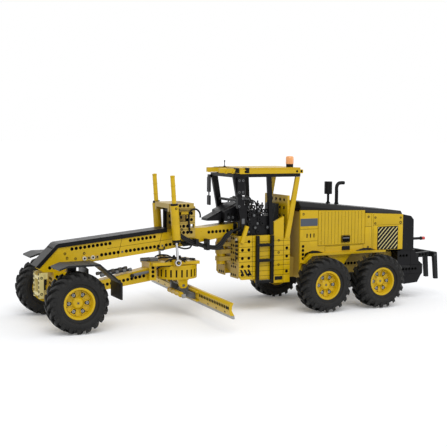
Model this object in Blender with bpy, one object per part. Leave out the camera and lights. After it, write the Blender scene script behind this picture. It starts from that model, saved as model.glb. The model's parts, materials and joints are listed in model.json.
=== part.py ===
"""Brick-built model of a motor grader, as an assembly of separate pieces.

Lengths are millimetres of the model and become Blender's metres in to_metres().
X points forward, Y to the machine's left, Z up. Places along X are measured from the
middle of the tandem axles; the empty "machine" then puts the origin on the ground under
the middle of the whole model.
"""

import math

import bmesh
import bpy
from mathutils import Matrix, Vector

MM = 0.001
GAP = 0.3  # between two pieces that touch
SIDES = (("left", 1), ("right", -1))

# Wheels and running gear
TYRE_DIAMETER = 107.0
TYRE_WIDTH = 44.0
RIM_DIAMETER = 56.0
RIM_WIDTH = 34.0
TRACK = 198.0
WHEEL_SPACE = 21.0  # between the two tyres of a tandem
WHEELBASE = 564.8  # tandem centre to front axle
ORIGIN_FROM_TANDEM = 182.0
AXLE_Z = TYRE_DIAMETER / 2
TYRE_RADIUS = TYRE_DIAMETER / 2
TANDEM_HALF = (TYRE_DIAMETER + WHEEL_SPACE) / 2
WHEEL_Y = TRACK / 2
HOUSING_Y = (60.0, 74.0)
STUB_RADIUS = 5.0
FACETS = 32

# Rear frame, hood and tail
SPINE_HALF = 26.0
SPINE_Z = (60.0, 100.0)
SPINE_REAR = -150.0
HOOD_HALF = 56.0
HOOD_WALL = 4.0
HOOD_FRONT = 93.0
HOOD_REAR = -156.0
HOOD_STEP = -61.0  # where the hood's upper edge drops
HOOD_TOP_FRONT = 196.0
HOOD_TOP_STEP = 192.0
HOOD_TOP_REAR = 181.0
HOOD_COVER_FRONT = 213.0
HOOD_COVER_REAR = 187.5
DOOR_X = (-60.0, 51.0)
DOOR_BOTTOM = 124.0
TAIL_HALF = 48.0
RIPPER = (-208.0, 90.0)

# Cab
CAB_HALF = 50.0
CAB_WALL = 5.7
CAB_REAR = 112.3
CAB_FRONT = 225.0
CAB_FLOOR_Z = 149.0
ROOF_Z = (268.6, 280.0)
ROOF_HALF = 52.0

# Articulation in front of the cab
HINGE_X = 240.0
HINGE_PIN = 4.0
HINGE_EYE = 11.0
KNUCKLE_PLATES = ((98.0, 106.0), (112.0, 120.0), (126.0, 134.0))

# Front frame
BEAM_HALF = 17.0
BEAM_NOSE = WHEELBASE + 7.2
BEAM_NOSE_Z = 139.0
BEAM_SLOPE = 0.097
BEAM_CREST = 300.0  # rear end of the sloping top
BEAM_TAIL = 212.0
CAP_REAR = 362.0
CAP_THICK = 8.0
KINGPIN_Y = 62.0
KINGPIN = 4.0
PIN_PLAY = 0.4

# Lift cylinders
CYLINDER_Y = 43.5
SADDLE_CLEARANCE = 3.198  # under the cross piece that rests over the beam
TRUNNION = (357.8, 206.0)
EYE = (350.5, 104.0)
BARREL_RADIUS = 8.0
SLEEVE_RADIUS = 4.2
SLEEVE_LENGTH = 61.0
BARREL_LENGTH = 64.0
ROD_RADIUS = 2.4

# Drawbar, circle and blade
DRAWBAR_PIVOT = (WHEELBASE - 24.8, AXLE_Z + 3.5)
CIRCLE_X = 335.0
CIRCLE_RADIUS = 40.0
CIRCLE_Z = (71.0, 97.0)
BLADE_YAW = -4.0
TILT_AXIS = (333.0, 59.0)
BLADE_LENGTH = 444.0
EDGE_Z = 27.0
TILT_PIN = 2.5
TILT_ARM_Y = (30.6, 37.0)

COLOURS = {
    "yellow": ((0.80, 0.50, 0.03), 0.35, 0.0),
    "tan": ((0.62, 0.47, 0.16), 0.45, 0.0),
    "black": ((0.02, 0.02, 0.022), 0.4, 0.0),
    "dark_grey": ((0.07, 0.07, 0.075), 0.4, 0.0),
    "light_grey": ((0.35, 0.36, 0.37), 0.4, 0.0),
    "rubber": ((0.025, 0.025, 0.025), 0.8, 0.0),
    "chrome": ((0.7, 0.7, 0.72), 0.2, 1.0),
    "orange": ((0.9, 0.35, 0.1), 0.2, 0.0),
}


# ---------------------------------------------------------------- shapes

def mirrored(side, low, high):
    """A span across the machine, on the left (side 1) or the right (side -1)."""
    return tuple(sorted((side * low, side * high)))


def box(x, y, z):
    mesh = bmesh.new()
    bmesh.ops.create_cube(mesh, size=1.0)
    size = Vector((x[1] - x[0], y[1] - y[0], z[1] - z[0]))
    middle = Vector(((x[0] + x[1]) / 2, (y[0] + y[1]) / 2, (z[0] + z[1]) / 2))
    bmesh.ops.transform(mesh, matrix=Matrix.Translation(middle) @ Matrix.Diagonal(size.to_4d()),
                        verts=mesh.verts)
    return mesh


def extruded(outline, start, along):
    """A flat outline of 3-D points, swept by the vector along."""
    mesh = bmesh.new()
    base = mesh.faces.new([mesh.verts.new(Vector(point) + start) for point in outline])
    swept = bmesh.ops.extrude_face_region(mesh, geom=[base])
    moved = [item for item in swept["geom"] if isinstance(item, bmesh.types.BMVert)]
    bmesh.ops.translate(mesh, verts=moved, vec=along)
    bmesh.ops.recalc_face_normals(mesh, faces=mesh.faces)
    return mesh


def side_plate(outline, y):
    """An outline of (x, z) points, filled between two distances across the machine."""
    points = [(x, 0.0, z) for x, z in outline]
    return extruded(points, Vector((0, y[0], 0)), Vector((0, y[1] - y[0], 0)))


def flat_plate(outline, z):
    """An outline of (x, y) points, filled between two heights."""
    points = [(x, y, 0.0) for x, y in outline]
    return extruded(points, Vector((0, 0, z[0])), Vector((0, 0, z[1] - z[0])))


def rod(start, end, radius, facets=20):
    start, end = Vector(start), Vector(end)
    mesh = bmesh.new()
    bmesh.ops.create_cone(mesh, cap_ends=True, segments=facets, radius1=radius,
                          radius2=radius, depth=(end - start).length)
    turn = Vector((0, 0, 1)).rotation_difference(end - start).to_matrix().to_4x4()
    bmesh.ops.transform(mesh, matrix=Matrix.Translation((start + end) / 2) @ turn,
                        verts=mesh.verts)
    return mesh


def turned(profile, centre, axis, facets=FACETS):
    """A closed profile of (distance along the axis, radius) points, turned round the axis."""
    axis = Vector(axis)
    across = axis.orthogonal().normalized()
    mesh = bmesh.new()
    loop = []
    for along, radius in profile:
        point = Vector(centre) + axis * along + across * radius
        loop.append(mesh.verts.new(point))
    edges = [mesh.edges.new((loop[i], loop[(i + 1) % len(loop)])) for i in range(len(loop))]
    bmesh.ops.spin(mesh, geom=loop + edges, cent=centre, axis=axis, angle=2 * math.pi,
                   steps=facets, use_merge=True)
    bmesh.ops.remove_doubles(mesh, verts=mesh.verts, dist=1e-4)
    bmesh.ops.dissolve_degenerate(mesh, edges=mesh.edges, dist=1e-5)
    bmesh.ops.recalc_face_normals(mesh, faces=mesh.faces)
    return mesh


def smooth_path(points, steps=5):
    """Catmull-Rom points through a list of chosen ones."""
    knots = [Vector(p) for p in points]
    knots = [2 * knots[0] - knots[1], *knots, 2 * knots[-1] - knots[-2]]
    path = []
    for a, b, c, d in zip(knots, knots[1:], knots[2:], knots[3:]):
        for step in range(steps):
            t = step / steps
            path.append(0.5 * (2 * b + (c - a) * t + (2 * a - 5 * b + 4 * c - d) * t ** 2
                               + (3 * b - a - 3 * c + d) * t ** 3))
    path.append(knots[-2])
    return path


def tube(points, radius, facets=8, steps=5):
    """A round tube through chosen points, closed at both ends."""
    path = smooth_path(points, steps)
    mesh = bmesh.new()
    rings = []
    across = (path[1] - path[0]).orthogonal().normalized()
    for i, point in enumerate(path):
        ahead = (path[min(i + 1, len(path) - 1)] - path[max(i - 1, 0)]).normalized()
        across = (across - ahead * across.dot(ahead)).normalized()
        other = ahead.cross(across)
        angles = [2 * math.pi * k / facets for k in range(facets)]
        rings.append([mesh.verts.new(point + radius * (math.cos(a) * across + math.sin(a) * other))
                      for a in angles])
    for ring, following in zip(rings, rings[1:]):
        for k in range(facets):
            after = (k + 1) % facets
            mesh.faces.new((ring[k], ring[after], following[after], following[k]))
    mesh.faces.new(rings[0])
    mesh.faces.new(rings[-1])
    bmesh.ops.recalc_face_normals(mesh, faces=mesh.faces)
    return mesh


def arc(centre, radius, start_deg, end_deg, steps):
    """Points on an arc, as (x, y) pairs."""
    turn = [math.radians(start_deg + (end_deg - start_deg) * k / steps) for k in range(steps + 1)]
    return [(centre[0] + radius * math.cos(a), centre[1] + radius * math.sin(a)) for a in turn]


# ---------------------------------------------------------------- objects

def to_metres(mesh, pivot):
    shift = Matrix.Translation(-Vector(pivot))
    bmesh.ops.transform(mesh, matrix=Matrix.Scale(MM, 4) @ shift, verts=mesh.verts)


def as_object(name, mesh):
    data = bpy.data.meshes.new(name)
    mesh.to_mesh(data)
    mesh.free()
    made = bpy.data.objects.new(name, data)
    bpy.context.scene.collection.objects.link(made)
    return made


def joined(operation, body, others):
    """The body's mesh after a Boolean with each of the others, which are then removed."""
    for other in others:
        change = body.modifiers.new(operation.lower(), "BOOLEAN")
        change.operation = operation
        change.solver = "EXACT"
        change.object = other
    bpy.context.view_layer.update()
    graph = bpy.context.evaluated_depsgraph_get()
    result = bpy.data.meshes.new_from_object(body.evaluated_get(graph))
    body.modifiers.clear()
    body.data = result
    for other in others:
        bpy.data.objects.remove(other)


def piece(name, colour, solids, cuts=(), joint="machine"):
    """One sub-part: its solids united, its cuts taken out, carried by the empty at its joint."""
    carrier = CARRIERS[joint]
    pivot = PIVOTS[joint]
    for mesh in (*solids, *cuts):
        to_metres(mesh, pivot)
    body = as_object(name, solids[0])
    if len(solids) > 1:
        joined("UNION", body, [as_object(f"{name}_add", mesh) for mesh in solids[1:]])
    if cuts:
        joined("DIFFERENCE", body, [as_object(f"{name}_cut", mesh) for mesh in cuts])
    body.data.materials.clear()
    body.data.materials.append(MATERIALS[colour])
    body.data.shade_smooth()
    body.data.set_sharp_from_angle(angle=math.radians(35))
    body.parent = carrier
    return body


PIVOTS = {"machine": (0.0, 0.0, 0.0)}
CARRIERS = {}
MATERIALS = {}


def carrier(joint, pivot, parent="machine", yaw_deg=0.0):
    """An empty on a joint's axis. Its pieces are drawn in place, then turned by its yaw."""
    empty = bpy.data.objects.new(f"{joint}_axis", None)
    bpy.context.scene.collection.objects.link(empty)
    if joint == "machine":
        empty.location = (-ORIGIN_FROM_TANDEM * MM, 0, 0)
    else:
        empty.parent = CARRIERS[parent]
        empty.location = (Vector(pivot) - Vector(PIVOTS[parent])) * MM
    empty.rotation_euler.z = math.radians(yaw_deg)
    PIVOTS[joint] = tuple(pivot)
    CARRIERS[joint] = empty


def make_materials():
    for name, (colour, roughness, metallic) in COLOURS.items():
        made = bpy.data.materials.new(name)
        made.use_nodes = True
        shader = made.node_tree.nodes["Principled BSDF"]
        shader.inputs["Base Color"].default_value = (*colour, 1.0)
        shader.inputs["Roughness"].default_value = roughness
        shader.inputs["Metallic"].default_value = metallic
        MATERIALS[name] = made


# ---------------------------------------------------------------- wheels

# name of the wheel, its side, its distance forward
WHEELS = tuple(
    (f"{row}_{name}", side, x)
    for row, x in (("front", WHEELBASE), ("middle", TANDEM_HALF), ("rear", -TANDEM_HALF))
    for name, side in SIDES
)


def tyre_profile():
    bead = RIM_DIAMETER / 2 + GAP
    half = TYRE_WIDTH / 2
    return [(-half, bead + 4), (-half, TYRE_RADIUS - 9), (-half + 6, TYRE_RADIUS),
            (half - 6, TYRE_RADIUS), (half, TYRE_RADIUS - 9), (half, bead + 4),
            (RIM_WIDTH / 2, bead), (-RIM_WIDTH / 2, bead)]


def rim_profile():
    radius = RIM_DIAMETER / 2
    half = RIM_WIDTH / 2
    stub_end = HOUSING_Y[1] + GAP - WHEEL_Y
    return [(stub_end, 0), (stub_end, STUB_RADIUS), (0, STUB_RADIUS), (0, radius - 5),
            (-half, radius - 3), (-half, radius), (half, radius), (half, radius - 3.5),
            (half - 9, radius - 5), (half - 11, 11), (half - 8, 8), (half - 8, 0)]


def make_wheels():
    for name, side, x in WHEELS:
        centre = (x, side * WHEEL_Y, AXLE_Z)
        axis = (0, side, 0)
        piece(f"tyre_{name}", "rubber", [turned(tyre_profile(), centre, axis)],
              joint=f"wheel_{name}")
        piece(f"rim_{name}", "yellow", [turned(rim_profile(), centre, axis)],
              joint=f"wheel_{name}")


# ---------------------------------------------------------------- rear frame

def make_rear_frame():
    block_y = (-CAB_HALF + CAB_WALL + GAP, CAB_HALF - CAB_WALL - GAP)
    block = [(CAB_REAR, 60), (190, 60), (CAB_FRONT - 3, 92), (CAB_FRONT - 3, 143.5),
             (CAB_REAR, 143.5)]
    solids = [
        box((SPINE_REAR, CAB_REAR + 1), (-SPINE_HALF, SPINE_HALF), SPINE_Z),
        side_plate(block, block_y),
        rod((0, -HOUSING_Y[0] + GAP, AXLE_Z), (0, HOUSING_Y[0] - GAP, AXLE_Z), 9),
        box((-14, 14), (-30, 30), (AXLE_Z - 4, SPINE_Z[0] + 1)),
        box((HOOD_FRONT - 9, HOOD_FRONT - 3), (-HOOD_HALF + HOOD_WALL + GAP,
            HOOD_HALF - HOOD_WALL - GAP), (SPINE_Z[0], HOOD_TOP_FRONT - 3)),
    ]
    for x in (-116, -6, 66):
        solids.append(box((x, x + 12), (-HOOD_HALF + HOOD_WALL + GAP,
                          HOOD_HALF - HOOD_WALL - GAP), (84, 98)))
    eye = arc((HINGE_X, 0), HINGE_EYE, -90, 90, 10)
    plate = [(CAB_FRONT - 6, -HINGE_EYE), *eye, (CAB_FRONT - 6, HINGE_EYE)]
    solids += [flat_plate(plate, z) for z in KNUCKLE_PLATES]
    hole = rod((HINGE_X, 0, 90), (HINGE_X, 0, 143), HINGE_PIN + PIN_PLAY)
    piece("rear_frame", "tan", solids, [hole])


def make_tandems():
    for name, side in SIDES:
        ends = 14
        outline = (arc((-TANDEM_HALF, AXLE_Z), ends, 90, 270, 8)
                   + arc((TANDEM_HALF, AXLE_Z), ends, -90, 90, 8))
        piece(f"tandem_housing_{name}", "dark_grey",
              [side_plate(outline, mirrored(side, *HOUSING_Y))])


def hood_edge(x):
    """Height of the hood panels' upper edge."""
    if x > HOOD_STEP:
        share = (x - HOOD_STEP) / (HOOD_FRONT - HOOD_STEP)
        return HOOD_TOP_STEP + share * (HOOD_TOP_FRONT - HOOD_TOP_STEP)
    share = (x - HOOD_REAR) / (HOOD_STEP - HOOD_REAR)
    return HOOD_TOP_REAR + share * 5.0


def make_hood():
    inner = HOOD_HALF - HOOD_WALL
    wheel_arch = TYRE_RADIUS + 8
    for name, side in SIDES:
        arch_low = AXLE_Z + 20
        lift = math.degrees(math.asin((arch_low - AXLE_Z) / wheel_arch))
        lower = [(HOOD_FRONT, arch_low), (HOOD_FRONT, hood_edge(HOOD_FRONT)),
                 (DOOR_X[1] + 1, hood_edge(DOOR_X[1] + 1)), (DOOR_X[1] + 1, DOOR_BOTTOM - 1),
                 (DOOR_X[0] - 1, DOOR_BOTTOM - 1), (DOOR_X[0] - 1, hood_edge(HOOD_STEP)),
                 (HOOD_REAR, HOOD_TOP_REAR), (HOOD_REAR, 108), (-128, 108)]
        lower += [point for point in arc((-TANDEM_HALF, AXLE_Z), wheel_arch, 118, lift, 6)]
        lower += [point for point in arc((TANDEM_HALF, AXLE_Z), wheel_arch, 180 - lift, 90, 6)]
        lower += [(HOOD_FRONT - 12, AXLE_Z + wheel_arch - 5)]
        ledge = [(HOOD_FRONT - 1, 92), (HOOD_FRONT - 22, 109), (-108, 109), (-108, 105),
                 (HOOD_FRONT - 25, 105), (HOOD_FRONT - 7, 90)]
        piece(f"hood_side_{name}", "yellow", [
            side_plate(lower, mirrored(side, inner, HOOD_HALF)),
            side_plate(ledge, mirrored(side, inner + 1, HOOD_HALF + 8)),
        ])
        door = [(DOOR_X[0], DOOR_BOTTOM), (DOOR_X[1], DOOR_BOTTOM),
                (DOOR_X[1], hood_edge(DOOR_X[1]) - GAP), (DOOR_X[0], hood_edge(DOOR_X[0]) - GAP)]
        handle = box((-23, -4), mirrored(side, HOOD_HALF - 1, HOOD_HALF + 3), (129, 142))
        piece(f"hood_door_{name}", "yellow",
              [side_plate(door, mirrored(side, inner, HOOD_HALF)), handle],
              joint=f"hood_door_{name}")
    cover = [(HOOD_FRONT, hood_edge(HOOD_FRONT) + GAP),
             (HOOD_STEP - 0.5, hood_edge(HOOD_STEP + 1) + GAP),
             (HOOD_STEP - 0.5, hood_edge(HOOD_STEP) + GAP),
             (HOOD_REAR, HOOD_TOP_REAR + GAP), (HOOD_REAR, HOOD_COVER_REAR),
             (HOOD_FRONT, HOOD_COVER_FRONT)]
    piece("hood_cover", "black", [side_plate(cover, (-HOOD_HALF, HOOD_HALF))],
          [flat_bevel(side) for side in (1, -1)])
    piece("engine", "dark_grey", [box((-122, 58), (-38, 38), (SPINE_Z[1] + GAP, 168))])


def flat_bevel(side):
    """Wedge that takes off the hood cover's long upper edge."""
    cut = 9.0
    corners = []
    for x, z in ((HOOD_FRONT + 1, HOOD_COVER_FRONT + 0.1), (HOOD_REAR - 1, HOOD_COVER_REAR - 0.1)):
        corners.append([(x, side * HOOD_HALF, z - cut), (x, side * (HOOD_HALF + 4), z - cut),
                        (x, side * (HOOD_HALF + 4), z + 4), (x, side * (HOOD_HALF - cut), z + 4),
                        (x, side * (HOOD_HALF - cut), z)])
    mesh = bmesh.new()
    rings = [[mesh.verts.new(point) for point in ring] for ring in corners]
    count = len(rings[0])
    for k in range(count):
        after = (k + 1) % count
        mesh.faces.new((rings[0][k], rings[0][after], rings[1][after], rings[1][k]))
    for ring in rings:
        mesh.faces.new(ring)
    bmesh.ops.recalc_face_normals(mesh, faces=mesh.faces)
    return mesh


def cover_height(x):
    share = (x - HOOD_REAR) / (HOOD_FRONT - HOOD_REAR)
    return HOOD_COVER_REAR + share * (HOOD_COVER_FRONT - HOOD_COVER_REAR)


def make_stacks():
    x, y = -14.0, 12.0
    foot = cover_height(x) + 2 * GAP
    piece("air_intake", "black", [
        rod((x, -y, foot), (x, -y, 224), 2.6, 12),
        rod((x, -y, 222), (x, -y, 248), 8.2),
    ])
    x = -19.0
    foot = cover_height(x) + 2 * GAP
    piece("exhaust_pipe", "black", [
        tube([(x, y, foot), (x, y, 225), (x, y, 238), (x - 4, y, 244.5), (x - 10, y, 246),
              (x - 18, y, 246)], 3.7, 12),
    ])


def make_tail():
    radiator = [(HOOD_REAR - 0.5, 104), (-190, 104), (-189, 168), (-182, 176),
                (HOOD_REAR - 0.5, 181)]
    solids = [side_plate(radiator, (-TAIL_HALF - 2, TAIL_HALF + 2))]
    for _, side in SIDES:
        solids.append(rod((-188, side * 44, 127), (-222, side * 44, 127), 2.8, 12))
    piece("radiator_housing", "black", solids)
    block = [(SPINE_REAR - GAP, 103.6), (-196, 103.6), (-200, 84), (-216, 72), (-216, 53),
             (-212, 49), (-203, 34), (-169, 32), (SPINE_REAR - GAP, 60)]
    solids = [side_plate(block, (-TAIL_HALF, TAIL_HALF))]
    for _, side in SIDES:
        lug = [(-195, 82), (-195, 98), *arc((RIPPER[0], RIPPER[1]), 7, 90, -90, 8)]
        solids.append(side_plate(lug, mirrored(side, 22, 30)))
    pin_hole = rod((RIPPER[0], -40, RIPPER[1]), (RIPPER[0], 40, RIPPER[1]), 3 + PIN_PLAY)
    piece("counterweight", "black", solids, [pin_hole])



def make_ripper():
    x, z = RIPPER
    solids = [rod((x, -37, z), (x, 37, z), 3)]
    for _, side in SIDES:
        arm = [(x + 5, z - 5), (x + 5, z + 5), (x - 40, z + 7), (x - 40, z - 4)]
        solids.append(side_plate(arm, mirrored(side, 30.6, 38)))
    solids.append(box((x - 42, x - 34), (-52, 52), (z - 4, z + 7)))
    for y in (-48, -16, 16, 48):
        shank = [(x - 34, z + 5), (x - 43, z + 6), (x - 47.5, 39), (x - 40, 39)]
        solids.append(side_plate(shank, (y - 4, y + 4)))
    piece("ripper", "dark_grey", solids, joint="ripper")


# ---------------------------------------------------------------- cab

def make_cab():
    inner = CAB_HALF - CAB_WALL
    skirt = [(CAB_FRONT, CAB_FLOOR_Z), (CAB_FRONT, 70), (CAB_FRONT - 6, 64), (188, 64),
             (188, 57), (155, 57), (155, 54), (CAB_REAR, 54), (CAB_REAR, 141), (127, 141),
             (127, 185), (149, 174), (149, CAB_FLOOR_Z)]
    for name, side in SIDES:
        piece(f"cab_skirt_{name}", "yellow", [side_plate(skirt, mirrored(side, inner, CAB_HALF))])
        out = (CAB_HALF + GAP, CAB_HALF + 7)
        solids = [box((x, x + 6), mirrored(side, *out), (55, CAB_FLOOR_Z)) for x in (152, 184)]
        for z in (57, 98, 128):
            solids.append(box((153, 189), mirrored(side, out[0], out[1] + 1), (z, z + 5)))
        piece(f"cab_ladder_{name}", "black", solids)
    piece("cab_floor", "dark_grey",
          [box((CAB_REAR, 200), (-inner + GAP, inner - GAP), (143.5 + GAP, 150))])
    make_cab_frame(inner)
    make_cab_rear(inner)
    make_roof()
    make_cab_inside(inner)


def make_cab_frame(inner):
    base = CAB_FLOOR_Z + GAP
    top = ROOF_Z[0] - GAP
    solids = [
        box((91, 239), mirrored(1, inner, CAB_HALF), (262, top)),
        box((91, 239), mirrored(-1, inner, CAB_HALF), (262, top)),
        box((232, 239), (-CAB_HALF, CAB_HALF), (262, top)),
        box((156, 165), (-CAB_HALF, CAB_HALF), (262, top)),
        box((91, 98), (-CAB_HALF, CAB_HALF), (262, top)),
        box((220, 226), (-inner - 1, inner + 1), (214.5, 219)),
    ]
    front_post = [(239, 264), (226, 264), (207, base), (217, base)]
    middle_post = [(165, 264), (156, 264), (150, base), (158, base)]
    for _, side in SIDES:
        wall = mirrored(side, inner, CAB_HALF)
        solids += [side_plate(front_post, wall), side_plate(middle_post, wall)]
    solids.append(box((232, 243), (-56, -47), (258, 264)))
    for width, low, high in ((58.5, 229, 259), (58, 203, 222)):
        solids.append(box((240, 243), (-width, -46), (low, high)))
    solids.append(box((240.5, 242.5), (-53, -51), (220, 231)))
    for x, low, high in (((216, 232), 228, 262), ((217, 231), 203, 226)):
        solids.append(box(x, (inner + 2, 54), (low, high)))
    piece("cab_frame", "dark_grey", solids)


def make_cab_rear(inner):
    post = [(CAB_REAR + 1, 141 + GAP), (124, 141 + GAP), (100.5, 261.6), (91.5, 261.6)]
    solids = [box((CAB_REAR, 117), (-inner - 2, inner + 2), (150 + GAP, 225))]
    for _, side in SIDES:
        solids.append(side_plate(post, mirrored(side, inner, CAB_HALF)))
    piece("cab_rear_wall", "yellow", solids)


def make_roof():
    low, high = ROOF_Z
    slab = box((86, 226), (-ROOF_HALF, ROOF_HALF), (low, high))
    upper = [edge for edge in slab.edges
             if all(vert.co.z > (low + high) / 2 for vert in edge.verts)]
    bmesh.ops.bevel(slab, geom=upper, offset=4, segments=2, affect="EDGES")
    solids = [slab]
    for _, side in SIDES:
        claw = [(220, side * 12), (220, side * 49), (240, side * 40), (258, side * 30),
                (258, side * 25), (232, side * 13)]
        solids.append(flat_plate(claw, (low + 1.5, high - 1)))
    piece("cab_roof", "yellow", solids)
    x, y = 103, 28
    piece("beacon", "orange", [rod((x, y, high + GAP), (x, y, high + 6), 7.2),
                               rod((x, y, high + 5), (x, y, high + 22), 8.2)])


def make_cab_inside(inner):
    edge = inner - GAP
    wide = [(246, 177), (246, 196), (214, 210), (206, 210), (206, 176)]
    narrow = [(276, 177.5), (276, 182), (214, 211), (207, 211), (207, 176.5)]
    piece("dash_console", "dark_grey", [
        side_plate(wide, (-28, 28)),
        side_plate(narrow, (-13, 13)),
        box((206, 219), (-edge, edge), (176, 208)),
    ])
    piece("control_pod", "black", [
        box((172, 198), (-34, 34), (150 + GAP, 196)),
        box((151, 198), (26, edge - 1), (150 + GAP, 186)),
    ])
    seat = [(166, 150 + GAP), (166, 180), (136, 178), (131, 208), (121, 208), (122, 150 + GAP)]
    piece("seat", "black", [side_plate(seat, (-20, 20))])


# ---------------------------------------------------------------- front frame

def beam_top(x):
    return BEAM_NOSE_Z + (BEAM_NOSE - x) * BEAM_SLOPE


def make_beam():
    nose = BEAM_NOSE
    outline = [(nose, BEAM_NOSE_Z), (BEAM_CREST, beam_top(BEAM_CREST)),
               (282, beam_top(BEAM_CREST)), (BEAM_TAIL, 172.5), (BEAM_TAIL, 149), (HINGE_X, 146),
               (282, 139), (365, 126), (nose - 96, 114), (nose - 27, 108), (nose - 10, 96),
               (nose + 27, 96), (nose + 35, 103)]
    solids = [side_plate(outline, (-BEAM_HALF, BEAM_HALF)),
              rod((HINGE_X, 0, 93), (HINGE_X, 0, 148), HINGE_PIN)]
    gaps = [(z[0][1], z[1][0]) for z in zip(KNUCKLE_PLATES, KNUCKLE_PLATES[1:])]
    gaps += [(KNUCKLE_PLATES[-1][1], 148), (91, KNUCKLE_PLATES[0][0])]
    for low, high in gaps:
        solids.append(rod((HINGE_X, 0, low + PIN_PLAY), (HINGE_X, 0, high - PIN_PLAY), 9))
    piece("main_beam", "yellow", solids, joint="articulation")
    rear = beam_top(CAP_REAR)
    cover = [(CAP_REAR, rear + GAP), (CAP_REAR, rear + CAP_THICK), (nose, BEAM_NOSE_Z + CAP_THICK),
             (nose + 4, BEAM_NOSE_Z + CAP_THICK - 2), (nose + 41, 107.5), (nose + 35.8, 103.5),
             (nose + 0.4, BEAM_NOSE_Z + GAP)]
    piece("beam_cover", "black", [side_plate(cover, (-BEAM_HALF - 2, BEAM_HALF + 2))],
          joint="articulation")


def make_nose_bracket():
    x = (BEAM_NOSE + 28, BEAM_NOSE + 36)
    solids = [box(x, (-20, 20), (54, 60)), box(x, (-20, 20), (84, 90)),
              box((BEAM_NOSE + 10.3, BEAM_NOSE + 29), (-10, 10), (54, 60))]
    for _, side in SIDES:
        solids.append(box(x, mirrored(side, 12, 20), (50, 95.6)))
        solids.append(box((BEAM_NOSE + 20, BEAM_NOSE + 29), mirrored(side, 12, 17), (84, 95.6)))
    piece("nose_bracket", "tan", solids, joint="articulation")


def make_front_axle():
    x = WHEELBASE
    solids = [
        box((x - 16.8, x + 17.2), (-24, 24), (AXLE_Z - 10, 95.7)),
        box((x - 8, x + 8), (-KINGPIN_Y, KINGPIN_Y), (AXLE_Z - 6.5, AXLE_Z + 6.5)),
    ]
    px, pz = DRAWBAR_PIVOT
    for _, side in SIDES:
        y = side * KINGPIN_Y
        solids.append(rod((x, y, AXLE_Z - 7), (x, y, AXLE_Z + 7), 8))
        solids.append(rod((x, y, AXLE_Z - 14), (x, y, AXLE_Z + 14), KINGPIN))
        lug = [(x - 10, pz - 8), (x - 10, pz + 8), *arc((px, pz), 8, 90, 270, 8)]
        solids.append(side_plate(lug, mirrored(side, 14, 20)))
    solids.append(rod((px, -17, pz), (px, 17, pz), 3))
    piece("front_axle", "yellow", solids, joint="articulation")


def make_steering():
    x = WHEELBASE
    for name, side in SIDES:
        y = side * KINGPIN_Y
        outer = (KINGPIN_Y + 9, HOUSING_Y[1])
        solids = [box((x - 9, x + 9), mirrored(side, *outer), (AXLE_Z - 14, AXLE_Z + 14))]
        for low, high in ((-14, -7.5), (7.5, 14)):
            solids.append(rod((x, y, AXLE_Z + low), (x, y, AXLE_Z + high), 8))
            solids.append(box((x - 7, x + 7), mirrored(side, KINGPIN_Y, outer[1]),
                              (AXLE_Z + low, AXLE_Z + high)))
        hole = rod((x, y, AXLE_Z - 20), (x, y, AXLE_Z + 20), KINGPIN + PIN_PLAY)
        piece(f"knuckle_{name}", "dark_grey", solids, [hole], joint=f"steering_{name}")
        make_fender(name, side, x)


def make_fender(name, side, x):
    shelf = AXLE_Z + TYRE_RADIUS + 10
    thick = 3.5
    outer = [(x + 36, shelf - 2), (x + 20, shelf + thick), (x - 36, shelf + thick),
             (x - 77, shelf - 32), (x - 77, AXLE_Z + 2)]
    inner = [(x - 77 + thick, AXLE_Z + 2), (x - 77 + thick, shelf - 33), (x - 35, shelf),
             (x + 20, shelf), (x + 36, shelf - 5)]
    bracket = [(x - 8, AXLE_Z + 14 + GAP), (x + 8, AXLE_Z + 14 + GAP), (x + 8, shelf + 1),
               (x - 8, shelf + 1)]
    width = (66, WHEEL_Y + TYRE_WIDTH / 2 - 2)
    piece(f"fender_{name}", "dark_grey", [
        side_plate(outer + inner, mirrored(side, *width)),
        side_plate(bracket, mirrored(side, KINGPIN_Y + 5, WHEEL_Y - TYRE_WIDTH / 2 - 3)),
    ], joint=f"steering_{name}")


def make_saddle():
    tx, tz = TRUNNION
    arm_y = (CYLINDER_Y - BARREL_RADIUS - 8, CYLINDER_Y - BARREL_RADIUS - 1.5)
    solids = [box((tx - 44, tx + 7), (-arm_y[1], arm_y[1]), (tz - 1, tz + 8))]
    cuts = []
    for _, side in SIDES:
        solids.append(box((306, 346), mirrored(side, BEAM_HALF + GAP, BEAM_HALF + 6.5),
                          (148, tz + 1)))
        solids.append(box((tx - 8, tx + 7), mirrored(side, *arm_y), (tz - 7, tz + 8)))
        cuts.append(rod((tx, side * (arm_y[0] + 2), tz), (tx, side * (arm_y[1] + 2), tz),
                        3 + PIN_PLAY))
    rest = beam_top(306) + SADDLE_CLEARANCE
    solids.append(box((312, 340), (-BEAM_HALF - 1, BEAM_HALF + 1), (rest, rest + 8)))
    piece("lift_saddle", "tan", solids, cuts, joint="articulation")


def along_cylinder(side, distance):
    """A point on a lift cylinder's axis, measured down from its trunnion."""
    slope = Vector((EYE[0] - TRUNNION[0], 0, EYE[1] - TRUNNION[1])).normalized()
    return Vector((TRUNNION[0], side * CYLINDER_Y, TRUNNION[1])) + slope * distance


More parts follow.
